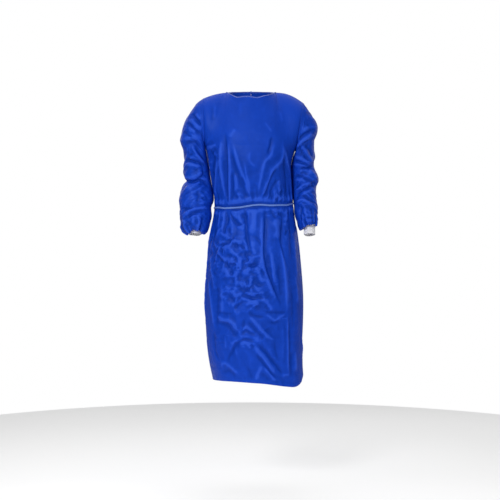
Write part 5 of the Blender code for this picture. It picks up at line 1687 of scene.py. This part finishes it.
class GOWN_OT_waist_belt(bpy.types.Operator):
    """Make the belt round the waist, its sag and its lean sums of sines of the angle"""

    bl_idname = "gown.waist_belt"
    bl_label = "Waist Belt"

    def execute(self, context):
        sizes = context.scene.gown_sizes
        path, out, angles = belt_line()
        path[:, 2] += (0.8 * np.sin(np.radians(angles * 5)) + 0.6 * np.sin(np.radians(angles * 11 + 40))) * MM
        lean = 0.08 * np.sin(np.radians(angles * 4 + 30)) + 0.05 * np.sin(np.radians(angles * 9))
        tilted = unit(out + np.stack([0 * lean, 0 * lean, lean], axis=-1))
        rings = tube(path, tilted, sizes.belt_width / 2, BELT_HALF_DEPTH, lift=BELT_LIFT)
        obj = surface_object("waist_tape", rings, finish("pale_blue_tape"), closed=True, caps=True)
        seat(obj, "pale_blue_tape", "waist_belt")
        return {"FINISHED"}


class GOWN_OT_ties(bpy.types.Operator):
    """Make the knots behind and their hanging ends"""

    bl_idname = "gown.ties"
    bl_label = "Ties"

    def execute(self, context):
        waist = body_ring(np.array(180.0), belt_height(180.0))
        waist[1] += CAD_WALL + 0.8 * MM + BELT_TIE.half_depth * MM
        neck = neck_point(np.array(180.0))
        neck[1] += CAD_WALL + 1.0 * MM + NECK_TIE.half_depth * MM
        parts = ("wrap_1", "wrap_2", "wrap_3", "hang_left", "hang_right")
        for tie, sizes, knot in (("belt_tie", BELT_TIE, waist), ("neck_tie", NECK_TIE, neck)):
            nodes = {
                "wrap_1": [tie + "_knot"],
                "hang_left": [tie + "_end_left"],
                "hang_right": [tie + "_end_right"],
            }
            for part, (rings, joined) in zip(parts, tie_surfaces(sizes, knot)):
                if joined:
                    rings = np.concatenate([rings, rings[:1]])
                name, tape = f"{tie}_{part}", finish("pale_blue_tape")
                obj = surface_object(name, rings, tape, closed=True, caps=not joined)
                seat(obj, "pale_blue_tape", *nodes.get(part, []))
        return {"FINISHED"}


def area_light(light, power):
    """A soft square light that faces its target."""
    data = bpy.data.lights.new(light.name, "AREA")
    data.shape, data.size, data.energy = "SQUARE", light.size, power
    obj = bpy.data.objects.new(light.name, data)
    obj.location = light.place
    obj.rotation_euler = (Vector(light.target) - Vector(light.place)).to_track_quat("-Z", "Y").to_euler()
    bpy.context.scene.collection.objects.link(obj)


def air(surroundings):
    """A world that the camera sees as white, and that lights the gown evenly by this strength."""
    world = bpy.data.worlds.new("studio_air")
    world.use_nodes = True
    background = world.node_tree.nodes["Background"]
    background.inputs["Color"].default_value = (1, 1, 1, 1)
    seen = add_node(world.node_tree, "ShaderNodeLightPath")
    feed(background, "Strength", seen * (1.0 - surroundings) + surroundings)
    return world


class GOWN_OT_studio(bpy.types.Operator):
    """Make the floor, the lights and the camera"""

    bl_idname = "gown.studio"
    bl_label = "Studio"

    def execute(self, context):
        scene, studio = context.scene, context.scene.gown_studio
        turn = np.arange(FLOOR_POINTS) * 2 * math.pi / FLOOR_POINTS
        radius = np.array(FLOOR_RADII)[:, None]
        level = np.array(FLOOR_LEVELS)[:, None] - studio.floor_drop
        disc = np.stack([radius * np.cos(turn), radius * np.sin(turn), level + 0 * turn], axis=-1)
        floor = surface_object("studio_floor", disc, finish("pale_floor"), closed=True, caps=True)
        for light in STUDIO_LIGHTS:
            area_light(light, getattr(studio, light.power))
        scene.world = air(studio.surroundings)
        camera = bpy.data.objects.new("camera", bpy.data.cameras.new("camera"))
        camera.data.lens, camera.data.sensor_width = CAMERA_LENS, CAMERA_SENSOR
        camera.location = (CAMERA_X, -studio.camera_distance, GOWN_MIDDLE_Z)
        camera.rotation_euler = (math.pi / 2, 0, 0)
        scene.collection.objects.link(camera)
        scene.camera = camera
        scene.view_settings.view_transform = "Standard"
        return {"FINISHED"}


class GOWN_PT_build(bpy.types.Panel):
    """The gown's settings and the buttons that make its pieces"""

    bl_label = "Isolation Gown"
    bl_idname = "GOWN_PT_build"
    bl_space_type = "VIEW_3D"
    bl_region_type = "UI"
    bl_category = "Gown"

    def draw(self, context):
        for group in (getattr(context.scene, label) for label in GROUPS):
            for name in group.bl_rna.properties.keys():
                if name not in ("rna_type", "name"):
                    self.layout.prop(group, name)
        for operator in OPERATORS:
            self.layout.operator(operator.bl_idname)


OPERATORS = (
    GOWN_OT_studio,
    GOWN_OT_front_panel,
    GOWN_OT_back_panels,
    GOWN_OT_sleeves,
    GOWN_OT_cuffs,
    GOWN_OT_neck_binding,
    GOWN_OT_waist_belt,
    GOWN_OT_ties,
)
GROUPS = {"gown_sizes": GownSizes, "gown_colours": GownColours, "gown_studio": GownStudio}


def register():
    """Registers the classes, and the groups of settings on the scene."""
    for cls in (*GROUPS.values(), *OPERATORS, GOWN_PT_build):
        bpy.utils.register_class(cls)
    for name, group in GROUPS.items():
        setattr(bpy.types.Scene, name, bpy.props.PointerProperty(type=group))


def unregister():
    """Takes back what register did."""
    for name in GROUPS:
        delattr(bpy.types.Scene, name)
    for cls in reversed((*GROUPS.values(), *OPERATORS, GOWN_PT_build)):
        bpy.utils.unregister_class(cls)


def main():
    """Makes the studio and every piece of the gown."""
    register()
    for operator in OPERATORS:
        group, name = operator.bl_idname.split(".")
        getattr(getattr(bpy.ops, group), name)()


if __name__ == "__main__":
    main()
